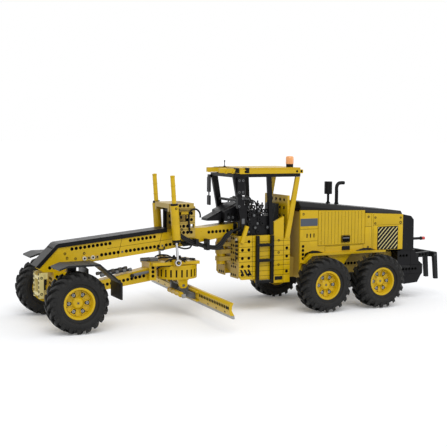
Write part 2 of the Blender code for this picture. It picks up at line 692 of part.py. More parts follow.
def make_cylinders():
    reach = math.dist(TRUNNION, EYE)
    pin_end = CYLINDER_Y - BARREL_RADIUS - 5
    for name, side in SIDES:
        y = side * CYLINDER_Y
        barrel = [
            rod(along_cylinder(side, -5), along_cylinder(side, BARREL_LENGTH), BARREL_RADIUS, 24),
            rod(along_cylinder(side, -SLEEVE_LENGTH), along_cylinder(side, 1), SLEEVE_RADIUS),
            rod((TRUNNION[0], side * pin_end, TRUNNION[1]), (TRUNNION[0], y, TRUNNION[1]), 3),
        ]
        bore = rod(along_cylinder(side, 12), along_cylinder(side, BARREL_LENGTH + 2),
                   ROD_RADIUS + PIN_PLAY, 16)
        piece(f"lift_barrel_{name}", "yellow", barrel, [bore], joint=f"lift_barrel_{name}")
        eye = [rod(along_cylinder(side, 28), along_cylinder(side, reach - 2), ROD_RADIUS, 16),
               rod((EYE[0], y - 3.5, EYE[1]), (EYE[0], y + 3.5, EYE[1]), 6)]
        hole = rod((EYE[0], y - 5, EYE[1]), (EYE[0], y + 5, EYE[1]), 3.6, 16)
        piece(f"lift_rod_{name}", "chrome", eye, [hole], joint=f"lift_rod_{name}")


def make_beam_hoses():
    """Three hoses tied under the beam's left side, on their way to the cab."""
    y = BEAM_HALF + 4.5
    solids = []
    for k in range(3):
        out = y + 4.0 * k
        drop = 2.5 * k
        solids.append(tube([(334, out, 139 - drop), (320, out, 140 - drop), (306, out, 139 - drop),
                            (290, out, 134 - drop), (276, out, 130.5 - drop),
                            (262, out, 129 - drop), (248, out, 130 - drop)], 1.8, steps=3))
    solids.append(box((302, 308), (BEAM_HALF + GAP, y + 10.5), (131, 145)))
    solids.append(box((279, 285), (BEAM_HALF + GAP, y + 10.5), (123, 144)))
    piece("beam_hoses", "black", solids, joint="articulation")


# ---------------------------------------------------------------- drawbar, circle, blade

def make_drawbar():
    px, pz = DRAWBAR_PIVOT
    neck = 11
    bar = [(px, pz - 7.5), (396, 67.5), (384, 70), (384, 92), (396, 93), (px, pz + 7.5)]
    deck = CIRCLE_Z[1] + 1
    solids = [
        side_plate(bar, (-neck, neck)),
        rod((px, -neck - 2.5, pz), (px, neck + 2.5, pz), 7.5),
        box((384, 398), (-20, 20), (70, deck + 6)),
        box((300, 396), (-32, 32), (deck, deck + 6)),
        box((EYE[0] - 6.5, EYE[0] + 6.5), (-CYLINDER_Y + 4, CYLINDER_Y - 4), (deck, EYE[1] + 5)),
        rod((EYE[0], -CYLINDER_Y - 5, EYE[1]), (EYE[0], CYLINDER_Y + 5, EYE[1]), 2.3, 12),
    ]
    cuts = [rod((px, -20, pz), (px, 20, pz), 3 + PIN_PLAY),
            rod((CIRCLE_X, 0, deck - 5), (CIRCLE_X, 0, deck + 10), 8 + PIN_PLAY, 24)]
    piece("drawbar", "yellow", solids, cuts, joint="drawbar")
    top = deck + 6 + GAP
    piece("circle_drive", "dark_grey", [
        box((376, 392), (-9, 9), (top, top + 6)),
        rod((391, 0, top + 3.4), (408, 0, top + 3.4), 3.6),
    ], joint="drawbar")
    piece("drawbar_hose", "black", [tube([
        (374.5, 6, top + 4.5), (368, 12, top + 7), (352, 24, top + 7.5), (330, 29, top + 4.5),
        (312, 28, top + 3), (306, 20, top + 2.2), (312, 12, top + 2.0)], 1.7)], joint="drawbar")


def make_circle():
    low, high = CIRCLE_Z
    tx, tz = TILT_AXIS
    middle = (CIRCLE_X, 0, 0)
    ring = [(low, 0), (low, CIRCLE_RADIUS), (high, CIRCLE_RADIUS), (high, 8), (high + 6.5, 8),
            (high + 6.5, 0)]
    solids = [turned(ring, middle, (0, 0, 1), 40)]
    cuts = []
    for _, side in SIDES:
        arm = [(tx - 8, low + 1), (tx - 8, tz - 1), (tx - 4, tz - 5), (tx + 4, tz - 5),
               (tx + 8, tz - 1), (tx + 12, low + 1)]
        solids.append(side_plate(arm, mirrored(side, *TILT_ARM_Y)))
        cuts.append(rod((tx, side * (TILT_ARM_Y[0] - 2), tz), (tx, side * (TILT_ARM_Y[1] + 2), tz),
                        TILT_PIN + PIN_PLAY))
    piece("circle", "yellow", solids, cuts, joint="circle")


def make_blade():
    tx, tz = TILT_AXIS
    half = BLADE_LENGTH / 2
    face = tx - 16
    rail_z = (tz - 22, tz - 11)
    solids = [box((face + GAP, face + 9), (-58, 58), rail_z),
              rod((tx, -TILT_ARM_Y[1] + 1, tz), (tx, TILT_ARM_Y[1] - 1, tz), TILT_PIN)]
    for _, side in SIDES:
        hanger = [(face + 4, rail_z[0]), (face + 4, tz - 4), (tx - 4, tz + 4), (tx + 4, tz + 4),
                  (tx + 4, rail_z[0])]
        solids.append(side_plate(hanger, mirrored(side, TILT_ARM_Y[0] - 9, TILT_ARM_Y[0] - 1)))
    piece("blade_carrier", "light_grey", solids, joint="blade_tilt")
    ram_x = tx + 4
    piece("shift_cylinder", "yellow", [
        rod((ram_x + 5, -18, tz - 15), (ram_x + 5, 50, tz - 15), 4.5),
        rod((ram_x + 5, 49, tz - 15), (ram_x + 5, 62, tz - 15), 2.4, 12),
    ], joint="blade_tilt")
    mould = [(face - 2.5, EDGE_Z + 6), (face, EDGE_Z + 12), (face, rail_z[1] + 3),
             (face - 2.5, rail_z[1] + 7), (face - 8, rail_z[1] + 7), (face - 5, rail_z[1] + 1),
             (face - 4.5, EDGE_Z + 15), (face - 9.5, EDGE_Z + 6)]
    guide = box((face - 2, face + 3), (-70, 70), (rail_z[1] + 1, rail_z[1] + 4))
    shoe = box((face - 3, face + 3), (-70, 70), (rail_z[0] - 4, rail_z[0] - 1))
    piece("blade", "yellow", [side_plate(mould, (-half, half)), guide, shoe],
          joint="blade_shift")
    edge = [(face - 9.5, EDGE_Z + 6 - GAP), (face - 10.5, EDGE_Z), (face - 6, EDGE_Z),
            (face - 3, EDGE_Z + 6 - GAP)]
    piece("cutting_edge", "light_grey", [side_plate(edge, (-half, half))], joint="blade_shift")


# ---------------------------------------------------------------- assembly

def make_carriers():
    carrier("machine", (0, 0, 0))
    for name, side in SIDES:
        hinge = (0, side * HOOD_HALF, hood_edge(DOOR_X[0]) - GAP)
        carrier(f"hood_door_{name}", hinge)
    carrier("ripper", (RIPPER[0], 0, RIPPER[1]))
    carrier("articulation", (HINGE_X, 0, 0))
    for name, side in SIDES:
        carrier(f"steering_{name}", (WHEELBASE, side * KINGPIN_Y, AXLE_Z), "articulation")
        for body in ("barrel", "rod"):
            carrier(f"lift_{body}_{name}", (TRUNNION[0], side * CYLINDER_Y, TRUNNION[1]),
                    "articulation")
    for name, side, x in WHEELS:
        parent = f"steering_{name.split('_')[1]}" if name.startswith("front") else "machine"
        carrier(f"wheel_{name}", (x, side * WHEEL_Y, AXLE_Z), parent)
    carrier("drawbar", (DRAWBAR_PIVOT[0], 0, DRAWBAR_PIVOT[1]), "articulation")
    carrier("circle", (CIRCLE_X, 0, CIRCLE_Z[1]), "drawbar", BLADE_YAW)
    carrier("blade_tilt", (TILT_AXIS[0], 0, TILT_AXIS[1]), "circle")
    carrier("blade_shift", (TILT_AXIS[0], 0, TILT_AXIS[1]), "blade_tilt")


def main():
    for old in list(bpy.data.objects):
        bpy.data.objects.remove(old)
    make_materials()
    make_carriers()
    make_rear_frame()
    make_tandems()
    make_hood()
    make_stacks()
    make_tail()
    make_ripper()
    make_cab()
    make_beam()
    make_nose_bracket()
    make_front_axle()
    make_steering()
    make_saddle()
    make_cylinders()
    make_beam_hoses()
    make_drawbar()
    make_circle()
    make_blade()
    make_wheels()


main()
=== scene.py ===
"""Adds the moulded detail, finishes, studio and camera of a brick-built motor grader."""

import json
import math

import bmesh
import bpy
from bpy.props import FloatProperty, FloatVectorProperty, IntProperty, PointerProperty
from mathutils import Matrix, Vector


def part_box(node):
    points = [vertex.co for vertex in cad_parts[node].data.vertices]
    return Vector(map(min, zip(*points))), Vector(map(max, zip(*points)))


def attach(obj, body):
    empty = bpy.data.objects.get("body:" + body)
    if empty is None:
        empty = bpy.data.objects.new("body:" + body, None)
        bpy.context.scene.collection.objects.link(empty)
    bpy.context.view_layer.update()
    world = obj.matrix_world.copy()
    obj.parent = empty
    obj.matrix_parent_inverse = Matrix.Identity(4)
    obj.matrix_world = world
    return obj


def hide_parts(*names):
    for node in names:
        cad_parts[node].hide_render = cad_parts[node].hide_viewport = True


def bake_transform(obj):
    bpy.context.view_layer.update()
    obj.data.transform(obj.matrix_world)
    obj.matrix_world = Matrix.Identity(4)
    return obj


bl_info = {
    "name": "Brick-Built Motor Grader",
    "version": (1, 0, 0),
    "blender": (4, 5, 0),
    "location": "View3D > Sidebar > Grader",
    "description": "Adds the moulded detail, finishes and studio of a brick-built motor grader",
    "category": "Add Mesh",
}

MM = 0.001
SIDES = (("left", 1), ("right", -1))
WHEELS = tuple((row, name, side) for row in ("front", "middle", "rear") for name, side in SIDES)
PITCH = 8.0  # between the holes of a brick beam
HOLE_RADIUS = 2.4
HOLE_MOUTH = 0.75  # how much wider a hole is at its mouth
COVER_REAR_TOP = 187.5  # height of the hood cover at its rear end
COVER_SEAMS = 5

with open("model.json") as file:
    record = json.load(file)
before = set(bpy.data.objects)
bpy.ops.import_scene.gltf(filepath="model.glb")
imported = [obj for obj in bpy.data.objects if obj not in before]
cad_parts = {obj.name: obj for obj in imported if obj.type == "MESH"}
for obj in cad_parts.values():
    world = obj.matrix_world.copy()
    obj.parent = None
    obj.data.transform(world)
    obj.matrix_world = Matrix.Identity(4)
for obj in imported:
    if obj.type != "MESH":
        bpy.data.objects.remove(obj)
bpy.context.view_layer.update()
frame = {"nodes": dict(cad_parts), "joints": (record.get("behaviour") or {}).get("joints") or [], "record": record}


def span(node):
    """Lowest and highest corner of a CAD node, in millimetres."""
    low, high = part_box(node)
    return Vector(low) / MM, Vector(high) / MM


def middle_of(node):
    low, high = span(node)
    return (low + high) / 2


TANDEM = (middle_of("tyre_middle_left") + middle_of("tyre_rear_left")) / 2
FRONT_AXLE = middle_of("tyre_front_left")


def at(x, y, z):
    """A place in the frame, its x measured forward from between the tandem wheels."""
    return Vector((x + TANDEM.x, y, z))


# ---------------------------------------------------------------- shapes

class Moulding:
    """Gathers shapes, in millimetres, each with the finish it is moulded in."""

    def __init__(self):
        self.points = []
        self.faces = []
        self.face_finishes = []

    def add(self, points, faces, finish):
        start = len(self.points)
        self.points += [Vector(point) for point in points]
        self.faces += [[start + index for index in face] for face in faces]
        self.face_finishes += [finish] * len(faces)

    def from_bmesh(self, mesh, finish):
        mesh.verts.index_update()
        points = [vert.co.copy() for vert in mesh.verts]
        self.add(points, [[vert.index for vert in face.verts] for face in mesh.faces], finish)
        mesh.free()

    def block(self, low, high, finish, edge=0.35):
        """A box with softened edges between two corners."""
        low, high = Vector(low), Vector(high)
        mesh = bmesh.new()
        bmesh.ops.create_cube(mesh, size=1.0)
        size = Vector([abs(b - a) for a, b in zip(low, high)])
        place = Matrix.Translation((low + high) / 2) @ Matrix.Diagonal(size.to_4d())
        bmesh.ops.transform(mesh, matrix=place, verts=mesh.verts)
        edge = min(edge, min(size) * 0.3)
        if edge > 0:
            bmesh.ops.bevel(mesh, geom=mesh.edges[:], offset=edge, segments=1, affect="EDGES")
        self.from_bmesh(mesh, finish)

    def plate(self, outline, start, along, finish):
        """An outline of 3-D points swept by a vector."""
        mesh = bmesh.new()
        base = mesh.faces.new([mesh.verts.new(Vector(point) + Vector(start)) for point in outline])
        swept = bmesh.ops.extrude_face_region(mesh, geom=[base])
        moved = [item for item in swept["geom"] if isinstance(item, bmesh.types.BMVert)]
        bmesh.ops.translate(mesh, verts=moved, vec=Vector(along))
        bmesh.ops.recalc_face_normals(mesh, faces=mesh.faces)
        self.from_bmesh(mesh, finish)

    def turned(self, profile, centre, axis, finish, facets=24, closed=False):
        """A profile of (distance along, radius) points, turned round an axis."""
        axis = Vector(axis).normalized()
        across = axis.orthogonal().normalized()
        other = axis.cross(across)
        points = []
        for along, radius in profile:
            for step in range(facets):
                angle = 2 * math.pi * step / facets
                spoke = math.cos(angle) * across + math.sin(angle) * other
                points.append(Vector(centre) + axis * along + spoke * radius)
        faces = []
        rows = len(profile)
        for row in range(rows if closed else rows - 1):
            first, second = row * facets, ((row + 1) % rows) * facets
            for step in range(facets):
                after = (step + 1) % facets
                faces.append([first + step, first + after, second + after, second + step])
        if not closed:
            faces.append(list(range(facets))[::-1])
            faces.append([(rows - 1) * facets + step for step in range(facets)])
        self.add(points, faces, finish)

    def pin(self, start, end, radius, finish, facets=16, edge=0.4):
        """A round bar with softened ends."""
        start, end = Vector(start), Vector(end)
        length = (end - start).length
        profile = [(0, radius - edge), (edge, radius), (length - edge, radius),
                   (length, radius - edge)]
        self.turned(profile, start, end - start, finish, facets)

    def ring(self, centre, axis, inner, outer, depth, finish, facets=24):
        profile = [(0, inner), (0, outer - 0.2), (0.2, outer), (depth - 0.2, outer),
                   (depth, outer - 0.2), (depth, inner)]
        self.turned(profile, centre, axis, finish, facets, closed=True)

    def hose(self, knots, radius, finish, facets=8, steps=6):
        """A round tube through chosen points."""
        path = curve_through(knots, steps)
        across = (path[1] - path[0]).orthogonal().normalized()
        points = []
        for i, point in enumerate(path):
            ahead = (path[min(i + 1, len(path) - 1)] - path[max(i - 1, 0)]).normalized()
            across = (across - ahead * across.dot(ahead)).normalized()
            other = ahead.cross(across)
            for step in range(facets):
                angle = 2 * math.pi * step / facets
                points.append(point + radius * (math.cos(angle) * across + math.sin(angle) * other))
        faces = []
        for row in range(len(path) - 1):
            for step in range(facets):
                after = (step + 1) % facets
                first, second = row * facets, (row + 1) * facets
                faces.append([first + step, first + after, second + after, second + step])
        faces.append(list(range(facets))[::-1])
        faces.append([(len(path) - 1) * facets + step for step in range(facets)])
        self.add(points, faces, finish)

    def mesh(self, name):
        data = bpy.data.meshes.new(name)
        data.from_pydata([point * MM for point in self.points], [], self.faces)
        finishes = list(dict.fromkeys(self.face_finishes))
        for finish in finishes:
            data.materials.append(bpy.data.materials[finish])
        slots = [finishes.index(finish) for finish in self.face_finishes]
        data.polygons.foreach_set("material_index", slots)
        data.validate()
        return data

    def build(self, name, body, slot, replaced=()):
        """Makes the object, which then rides on a body of the frame."""
        return place(name, self.mesh(name), body, slot, replaced)


def curve_through(knots, steps):
    knots = [Vector(knot) for knot in knots]
    knots = [2 * knots[0] - knots[1], *knots, 2 * knots[-1] - knots[-2]]
    path = []
    for a, b, c, d in zip(knots, knots[1:], knots[2:], knots[3:]):
        for step in range(steps):
            t = step / steps
            path.append(0.5 * (2 * b + (c - a) * t + (2 * a - 5 * b + 4 * c - d) * t ** 2
                               + (3 * b - a - 3 * c + d) * t ** 3))
    path.append(knots[-2])
    return path


def place(name, data, body, slot, replaced=()):
    made = bpy.data.objects.new(name, data)
    bpy.context.scene.collection.objects.link(made)
    data.shade_smooth()
    data.set_sharp_from_angle(angle=math.radians(32))
    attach(made, body)
    if replaced:
        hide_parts(*replaced)
    return made


def body_of(node):
    for body, nodes in frame["record"]["behaviour"]["bodies"].items():
        if node in nodes:
            return body
    raise RuntimeError(f"no body holds {node}")


def carved(node, name, finish, slot, cutters=None, edge=0.3, inside="shadow_plastic"):
    """Stands for a CAD node: the same shape with its holes and seams cut and its edges softened."""
    mesh = bmesh.new()
    mesh.from_mesh(frame["nodes"][node].data)
    bmesh.ops.remove_doubles(mesh, verts=mesh.verts, dist=1e-6)
    bmesh.ops.dissolve_limit(mesh, angle_limit=math.radians(0.4), verts=mesh.verts,
                             edges=mesh.edges)
    bmesh.ops.triangulate(mesh, faces=[face for face in mesh.faces if len(face.verts) > 16])
    data = bpy.data.meshes.new(name)
    mesh.to_mesh(data)
    mesh.free()
    data.materials.clear()
    data.materials.append(bpy.data.materials[finish])
    data.polygons.foreach_set("material_index", [0] * len(data.polygons))
    if cutters and cutters.faces:
        data = cut(name, data, cutters, inside)
    made = place(name, data, body_of(node), slot, (node,))
    if edge:
        soften = made.modifiers.new("softened edges", "BEVEL")
        soften.width = edge * MM
        soften.segments = 2
        soften.limit_method = "ANGLE"
        soften.angle_limit = math.radians(38)
    return made


def cut(name, data, cutters, inside):
    """The mesh with the cutters' shapes taken out, which leave their own finish behind, the painted shade of
    shadow_plastic unless carved() is given another.
    """
    body = bpy.data.objects.new(f"{name}_blank", data)
    tool_mesh = bpy.data.meshes.new("tool")
    tool_mesh.from_pydata([point * MM for point in cutters.points], [], cutters.faces)
    tool_mesh.materials.append(bpy.data.materials[inside])
    tool = bpy.data.objects.new("tool", tool_mesh)
    for item in (body, tool):
        bpy.context.scene.collection.objects.link(item)
    drill = body.modifiers.new("drill", "BOOLEAN")
    drill.operation = "DIFFERENCE"
    drill.solver = "EXACT"
    drill.use_self = True
    drill.material_mode = "TRANSFER"
    drill.object = tool
    bpy.context.view_layer.update()
    graph = bpy.context.evaluated_depsgraph_get()
    result = bpy.data.meshes.new_from_object(body.evaluated_get(graph))
    bpy.data.objects.remove(body)
    bpy.data.objects.remove(tool)
    if not result.polygons:
        raise RuntimeError(f"cutting {name} left nothing")
    return result


def drill_hole(cutters, face, inward, depth=6.0, radius=HOLE_RADIUS):
    """A brick hole: a bore with the shallow wider mouth that such holes have."""
    face, inward = Vector(face), Vector(inward).normalized()
    mouth = radius + HOLE_MOUTH
    cutters.turned([(-1, mouth), (0.9, mouth), (0.9, radius), (depth, radius)], face, inward,
                   None, 16)


def hole_row(cutters, first, step, count, inward, depth=6.0, skip=()):
    for index in range(count):
        if index not in skip:
            drill_hole(cutters, Vector(first) + Vector(step) * index, inward, depth)


def groove(cutters, low, high):
    cutters.block(low, high, None, 0)


def pin_head(moulding, face, outward, finish="black_plastic", proud=0.5):
    """The end of a friction pin in its hole, with the hollow in its middle."""
    face, outward = Vector(face), Vector(outward).normalized()
    start = face - outward * 0.6
    moulding.ring(start, outward, 1.3, 2.35, proud + 0.6, finish, 16)
    moulding.turned([(0, 1.4), (0.5, 1.4)], start, outward, "shadow_plastic", 12)


def axle_end(moulding, face, outward, finish="black_plastic", proud=0.8):
    """The end of a cross-shaped axle."""
    face, outward = Vector(face), Vector(outward).normalized()
    across = outward.orthogonal().normalized()
    other = outward.cross(across)
    for long_way, short_way in ((across, other), (other, across)):
        outline = [long_way * a + short_way * b
                   for a, b in ((-2.2, -0.7), (2.2, -0.7), (2.2, 0.7), (-2.2, 0.7))]
        moulding.plate(outline, face - outward * 0.4, outward * (proud + 0.4), finish)


# ---------------------------------------------------------------- finishes

def new_group(name, inputs, outputs):
    """A shader node group with named sockets."""
    group = bpy.data.node_groups.new(name, "ShaderNodeTree")
    for label, kind, value in inputs:
        socket = group.interface.new_socket(label, in_out="INPUT", socket_type=kind)
        socket.default_value = value
    for label, kind in outputs:
        group.interface.new_socket(label, in_out="OUTPUT", socket_type=kind)
    return group, group.nodes.new("NodeGroupInput"), group.nodes.new("NodeGroupOutput")


def math_node(tree, operation, first, second=0.0, clamp=False):
    node = tree.nodes.new("ShaderNodeMath")
    node.operation = operation
    node.use_clamp = clamp
    for socket, value in zip(node.inputs, (first, second)):
        if isinstance(value, (int, float)):
            socket.default_value = value
        else:
            tree.links.new(value, socket)
    return node.outputs[0]


def mixed_colour(tree, factor, first, second):
    node = tree.nodes.new("ShaderNodeMix")
    node.data_type = "RGBA"
    for socket, value in zip((node.inputs[0], node.inputs[6], node.inputs[7]),
                             (factor, first, second)):
        if isinstance(value, (int, float, tuple)):
            socket.default_value = value
        else:
            tree.links.new(value, socket)
    return node.outputs[2]


def noise_of(tree, vector, scale, detail=3.0, roughness=0.5):
    node = tree.nodes.new("ShaderNodeTexNoise")
    node.inputs["Scale"].default_value = scale
    node.inputs["Detail"].default_value = detail
    node.inputs["Roughness"].default_value = roughness
    tree.links.new(vector, node.inputs["Vector"])
    return node.outputs["Fac"]


def moulded_group():
    """Moulded plastic: a slight change of shade from brick to brick, haze, fine grain and dust."""
    group, given, out = new_group(
        "Moulded Surface",
        (("Colour", "NodeSocketColor", (0.5, 0.5, 0.5, 1.0)),
         ("Brick Shade", "NodeSocketFloat", 0.06), ("Dust", "NodeSocketFloat", 0.05),
         ("Gloss", "NodeSocketFloat", 0.3)),
        (("Colour", "NodeSocketColor"), ("Roughness", "NodeSocketFloat"),
         ("Height", "NodeSocketFloat")))
    place_node = group.nodes.new("ShaderNodeTexCoord")
    where = place_node.outputs["Object"]
    snapped = group.nodes.new("ShaderNodeVectorMath")
    snapped.operation = "SNAP"
    snapped.inputs[1].default_value = (4 * PITCH * MM, 50 * PITCH * MM, 2 * PITCH * MM)
    group.links.new(where, snapped.inputs[0])
    brick = group.nodes.new("ShaderNodeTexWhiteNoise")
    group.links.new(snapped.outputs[0], brick.inputs["Vector"])
    shade = math_node(group, "MULTIPLY", brick.outputs["Value"], given.outputs["Brick Shade"])
    haze = noise_of(group, where, 55.0, 4.0)
    shade = math_node(group, "ADD", shade, math_node(group, "MULTIPLY", haze, 0.05))
    darker = mixed_colour(group, shade, given.outputs["Colour"], (0.0, 0.0, 0.0, 1.0))
    geometry = group.nodes.new("ShaderNodeNewGeometry")
    parts = group.nodes.new("ShaderNodeSeparateXYZ")
    group.links.new(geometry.outputs["Normal"], parts.inputs[0])
    upward = math_node(group, "MAXIMUM", parts.outputs["Z"], 0.0)
    speck = noise_of(group, where, 900.0, 2.0, 0.7)
    dusty = math_node(group, "MULTIPLY", math_node(group, "MULTIPLY", upward, speck),
                      given.outputs["Dust"])
    colour = mixed_colour(group, dusty, darker, (0.55, 0.53, 0.5, 1.0))
    group.links.new(colour, out.inputs["Colour"])
    rough = math_node(group, "MULTIPLY", noise_of(group, where, 180.0, 3.0), 0.16)
    rough = math_node(group, "ADD", rough, given.outputs["Gloss"], True)
    group.links.new(rough, out.inputs["Roughness"])
    group.links.new(noise_of(group, where, 2600.0, 2.0), out.inputs["Height"])
    return group


def rubber_group():
    """Soft rubber: dull, a little paler where dust holds, with a fine leathery grain."""
    group, given, out = new_group(
        "Rubber Surface",
        (("Colour", "NodeSocketColor", (0.03, 0.03, 0.03, 1.0)),
         ("Dust", "NodeSocketFloat", 0.12)),
        (("Colour", "NodeSocketColor"), ("Roughness", "NodeSocketFloat"),
         ("Height", "NodeSocketFloat")))
    where = group.nodes.new("ShaderNodeTexCoord").outputs["Object"]
    cloud = math_node(group, "MULTIPLY", noise_of(group, where, 70.0, 5.0),
                      given.outputs["Dust"])
    colour = mixed_colour(group, cloud, given.outputs["Colour"], (0.28, 0.27, 0.25, 1.0))
    group.links.new(colour, out.inputs["Colour"])
    rough = math_node(group, "ADD", math_node(group, "MULTIPLY", noise_of(group, where, 220.0),
                                              0.2), 0.5)
    group.links.new(rough, out.inputs["Roughness"])
    group.links.new(noise_of(group, where, 1500.0, 4.0), out.inputs["Height"])
    return group


def finish_material(name, group, values, bump, **shader_values):
    """A material that takes its colour, roughness and grain from a shared surface group."""
    made = bpy.data.materials.new(name)
    made.use_nodes = True
    tree = made.node_tree
    shader = tree.nodes["Principled BSDF"]
    surface = tree.nodes.new("ShaderNodeGroup")
    surface.node_tree = group
    for label, value in values.items():
        surface.inputs[label].default_value = value
    tree.links.new(surface.outputs["Colour"], shader.inputs["Base Color"])
    tree.links.new(surface.outputs["Roughness"], shader.inputs["Roughness"])
    grain = tree.nodes.new("ShaderNodeBump")
    grain.inputs["Strength"].default_value = bump
    grain.inputs["Distance"].default_value = 0.0001
    tree.links.new(surface.outputs["Height"], grain.inputs["Height"])
    tree.links.new(grain.outputs["Normal"], shader.inputs["Normal"])
    for label, value in shader_values.items():
        shader.inputs[label.replace("_", " ")].default_value = value
    return made


# name, brick shade, dust, gloss
PLASTICS = (
    ("yellow_plastic", 0.07, 0.02, 0.22),
    ("tan_and_shaded_yellow_plastic", 0.06, 0.05, 0.3),
    ("black_plastic", 0.10, 0.015, 0.26),
    ("shadow_plastic", 0.0, 0.0, 0.6),
    ("dark_grey_plastic", 0.10, 0.02, 0.3),
    ("grey_plastic", 0.08, 0.05, 0.3),
    ("light_grey_plastic", 0.08, 0.05, 0.28),
    ("plate_plastic", 0.0, 0.02, 0.25),
    ("stripe_and_highlight_yellow_plastic", 0.0, 0.02, 0.3),
    ("blue_plastic", 0.0, 0.02, 0.25),
    ("white_plastic", 0.04, 0.03, 0.3),
    ("hose_rubber", 0.0, 0.05, 0.45),
)


DARK_PLASTICS = ("black_plastic", "shadow_plastic", "dark_grey_plastic", "hose_rubber")


# ---------------------------------------------------------------- settings

def colour_property(name, description, value):
    return FloatVectorProperty(name=name, description=description, subtype="COLOR", size=3,
                               min=0.0, max=1.0, default=value)


class GraderColours(bpy.types.PropertyGroup):
    """Colours of the moulded pieces."""

    yellow_plastic: colour_property("Yellow", "Panels, beam, rims and blade", (0.615, 0.400, 0.003))
    # Real tan on the bushes; on the rear frame, lift saddle and front wall this darker yellow is painted shade on
    # yellow bricks.
    tan_and_shaded_yellow_plastic: colour_property("Tan", "Frame bricks and bushes", (0.46, 0.32, 0.06))
    black_plastic: colour_property("Black", "Covers and pins", (0.006, 0.006, 0.007))
    shadow_plastic: colour_property("Shadow", "Insides of holes", (0.006, 0.006, 0.006))
    dark_grey_plastic: colour_property("Dark Grey", "Fenders and cab cage", (0.016, 0.017, 0.018))
    grey_plastic: colour_property("Grey", "Motors and connectors", (0.13, 0.135, 0.14))
    light_grey_plastic: colour_property("Light Grey", "Cutting edge", (0.33, 0.33, 0.32))
    plate_plastic: colour_property("Plate", "The blank plate on the hood", (0.07, 0.085, 0.11))
    # Pale stripes on the grille slats; on the nose bracket this paler yellow is a painted highlight on yellow
    # liftarms.
    stripe_and_highlight_yellow_plastic: colour_property("Stripe", "Slanted bars of the grilles", (0.72, 0.62, 0.26))
    blue_plastic: colour_property("Blue", "Long friction pins", (0.02, 0.09, 0.32))
    white_plastic: colour_property("White", "Axle bushes", (0.62, 0.58, 0.48))
    hose_rubber: colour_property("Hose", "Hoses", (0.016, 0.016, 0.016))
    tyre_rubber: colour_property("Tyre", "Tyres", (0.009, 0.009, 0.009))
    silver_plastic: colour_property("Silver", "Rods and mirrors", (0.60, 0.60, 0.61))
    orange_plastic: colour_property("Orange", "Beacon dome", (0.88, 0.38, 0.12))
    red_plastic: colour_property("Red", "Tail lamps", (0.55, 0.02, 0.012))


class GraderSizes(bpy.types.PropertyGroup):
    """Sizes of the detail on the wheels and beams."""

    lug_count: IntProperty(name="Lugs", description="Tread lugs on each side of a tyre",
                           default=20, min=8, max=40)
    lug_height: FloatProperty(name="Lug Height", description="Height of the lugs in millimetres",
                              default=5.2, min=1.0, max=8.0)
    seam_width: FloatProperty(name="Seam Width", description="Width of a seam in millimetres",
                              default=0.6, min=0.1, max=2.0)


class GraderStudio(bpy.types.PropertyGroup):
    """Floor, lights and camera."""

    floor_size: FloatProperty(name="Floor Size", description="Side of the floor", default=60.0,
                              unit="LENGTH")
    floor_lift: FloatProperty(name="Floor Lift", description="How much whiter the floor is shown",
                              default=0.12)
    sky_strength: FloatProperty(name="Sky", description="Light from all round", default=0.62)
    key_strength: FloatProperty(name="Key Lamp", description="Soft lamp over the left shoulder",
                                default=1.35)
    lens: FloatProperty(name="Lens", description="Focal length in millimetres", default=76.98)
    camera_place: FloatVectorProperty(name="Camera Place", description="Where the camera stands",
                                      subtype="TRANSLATION", unit="LENGTH",
                                      default=(0.8828, 1.6658, 0.3457))
    camera_turn: FloatVectorProperty(name="Camera Turn", description="Heading, dip and roll",
                                     subtype="EULER", unit="ROTATION",
                                     default=(-2.0333, 0.0942, 0.0085))


def sizes():
    return bpy.context.scene.grader_sizes


# ---------------------------------------------------------------- wheels

def tyre_mesh(moulding, centre, side):
    """Carcass, sidewall rings and two staggered rows of slanted lugs."""
    count, lug = sizes().lug_count, sizes().lug_height
    low, high = span("tyre_front_left")
    outer = (high.z - low.z) / 2
    half = (high.y - low.y) / 2
    base = outer - lug
    profile = [(-17, 28.4), (-17.6, 33), (-20.5, 34.5), (-21.6, 38), (-21.4, 43), (-19.5, base - 2),
               (-16, base), (16, base), (19.5, base - 2), (21.4, 43), (21.6, 38), (20.5, 34.5),
               (17.6, 33), (17, 28.4)]
    axis = Vector((0, side, 0))
    moulding.turned(profile, centre, axis, "tyre_rubber", 72, closed=True)
    for face in (-1, 1):
        ring_at = centre + axis * face * 21.2
        moulding.ring(ring_at, axis * face, 39.2, 41.2, 0.7, "tyre_rubber", 48)
    step = 2 * math.pi / count
    for face in (-1, 1):
        for index in range(count):
            start = step * (index + (0.5 if face > 0 else 0.0))
            lug_shape(moulding, centre, side, face, start, step, base, outer, half)


def lug_shape(moulding, centre, side, face, start, step, base, outer, half):
    """One lug, from the middle of the tread round the shoulder. Each station is its distance
    from the middle, its slant as a share of a step, its top and its foot."""
    stations = ((1.2, 0.0, outer, base - 1), (11.0, 0.35, outer, base - 1),
                (18.0, 0.62, outer - 0.9, base - 2.5), (half - 0.3, 0.72, outer - 4.5, base - 4),
                (half - 0.1, 0.74, outer - 9.0, 43.0))
    wide = step * 0.23
    points = []
    for across, slant, top, foot in stations:
        for turn, radius in ((-wide, foot), (-wide * 0.86, top), (wide * 0.86, top),
                             (wide, foot)):
            angle = start + slant * step + turn
            points.append(centre + Vector((radius * math.cos(angle), side * face * across,
                                           radius * math.sin(angle))))
    faces = []
    for row in range(len(stations) - 1):
        for k in range(4):
            after = (k + 1) % 4
            faces.append([4 * row + k, 4 * row + after, 4 * row + 4 + after, 4 * row + 4 + k])
    faces.append([3, 2, 1, 0])
    last = 4 * (len(stations) - 1)
    faces.append([last, last + 1, last + 2, last + 3])
    if side * face > 0:
        faces = [face_points[::-1] for face_points in faces]
    moulding.add(points, faces, "tyre_rubber")


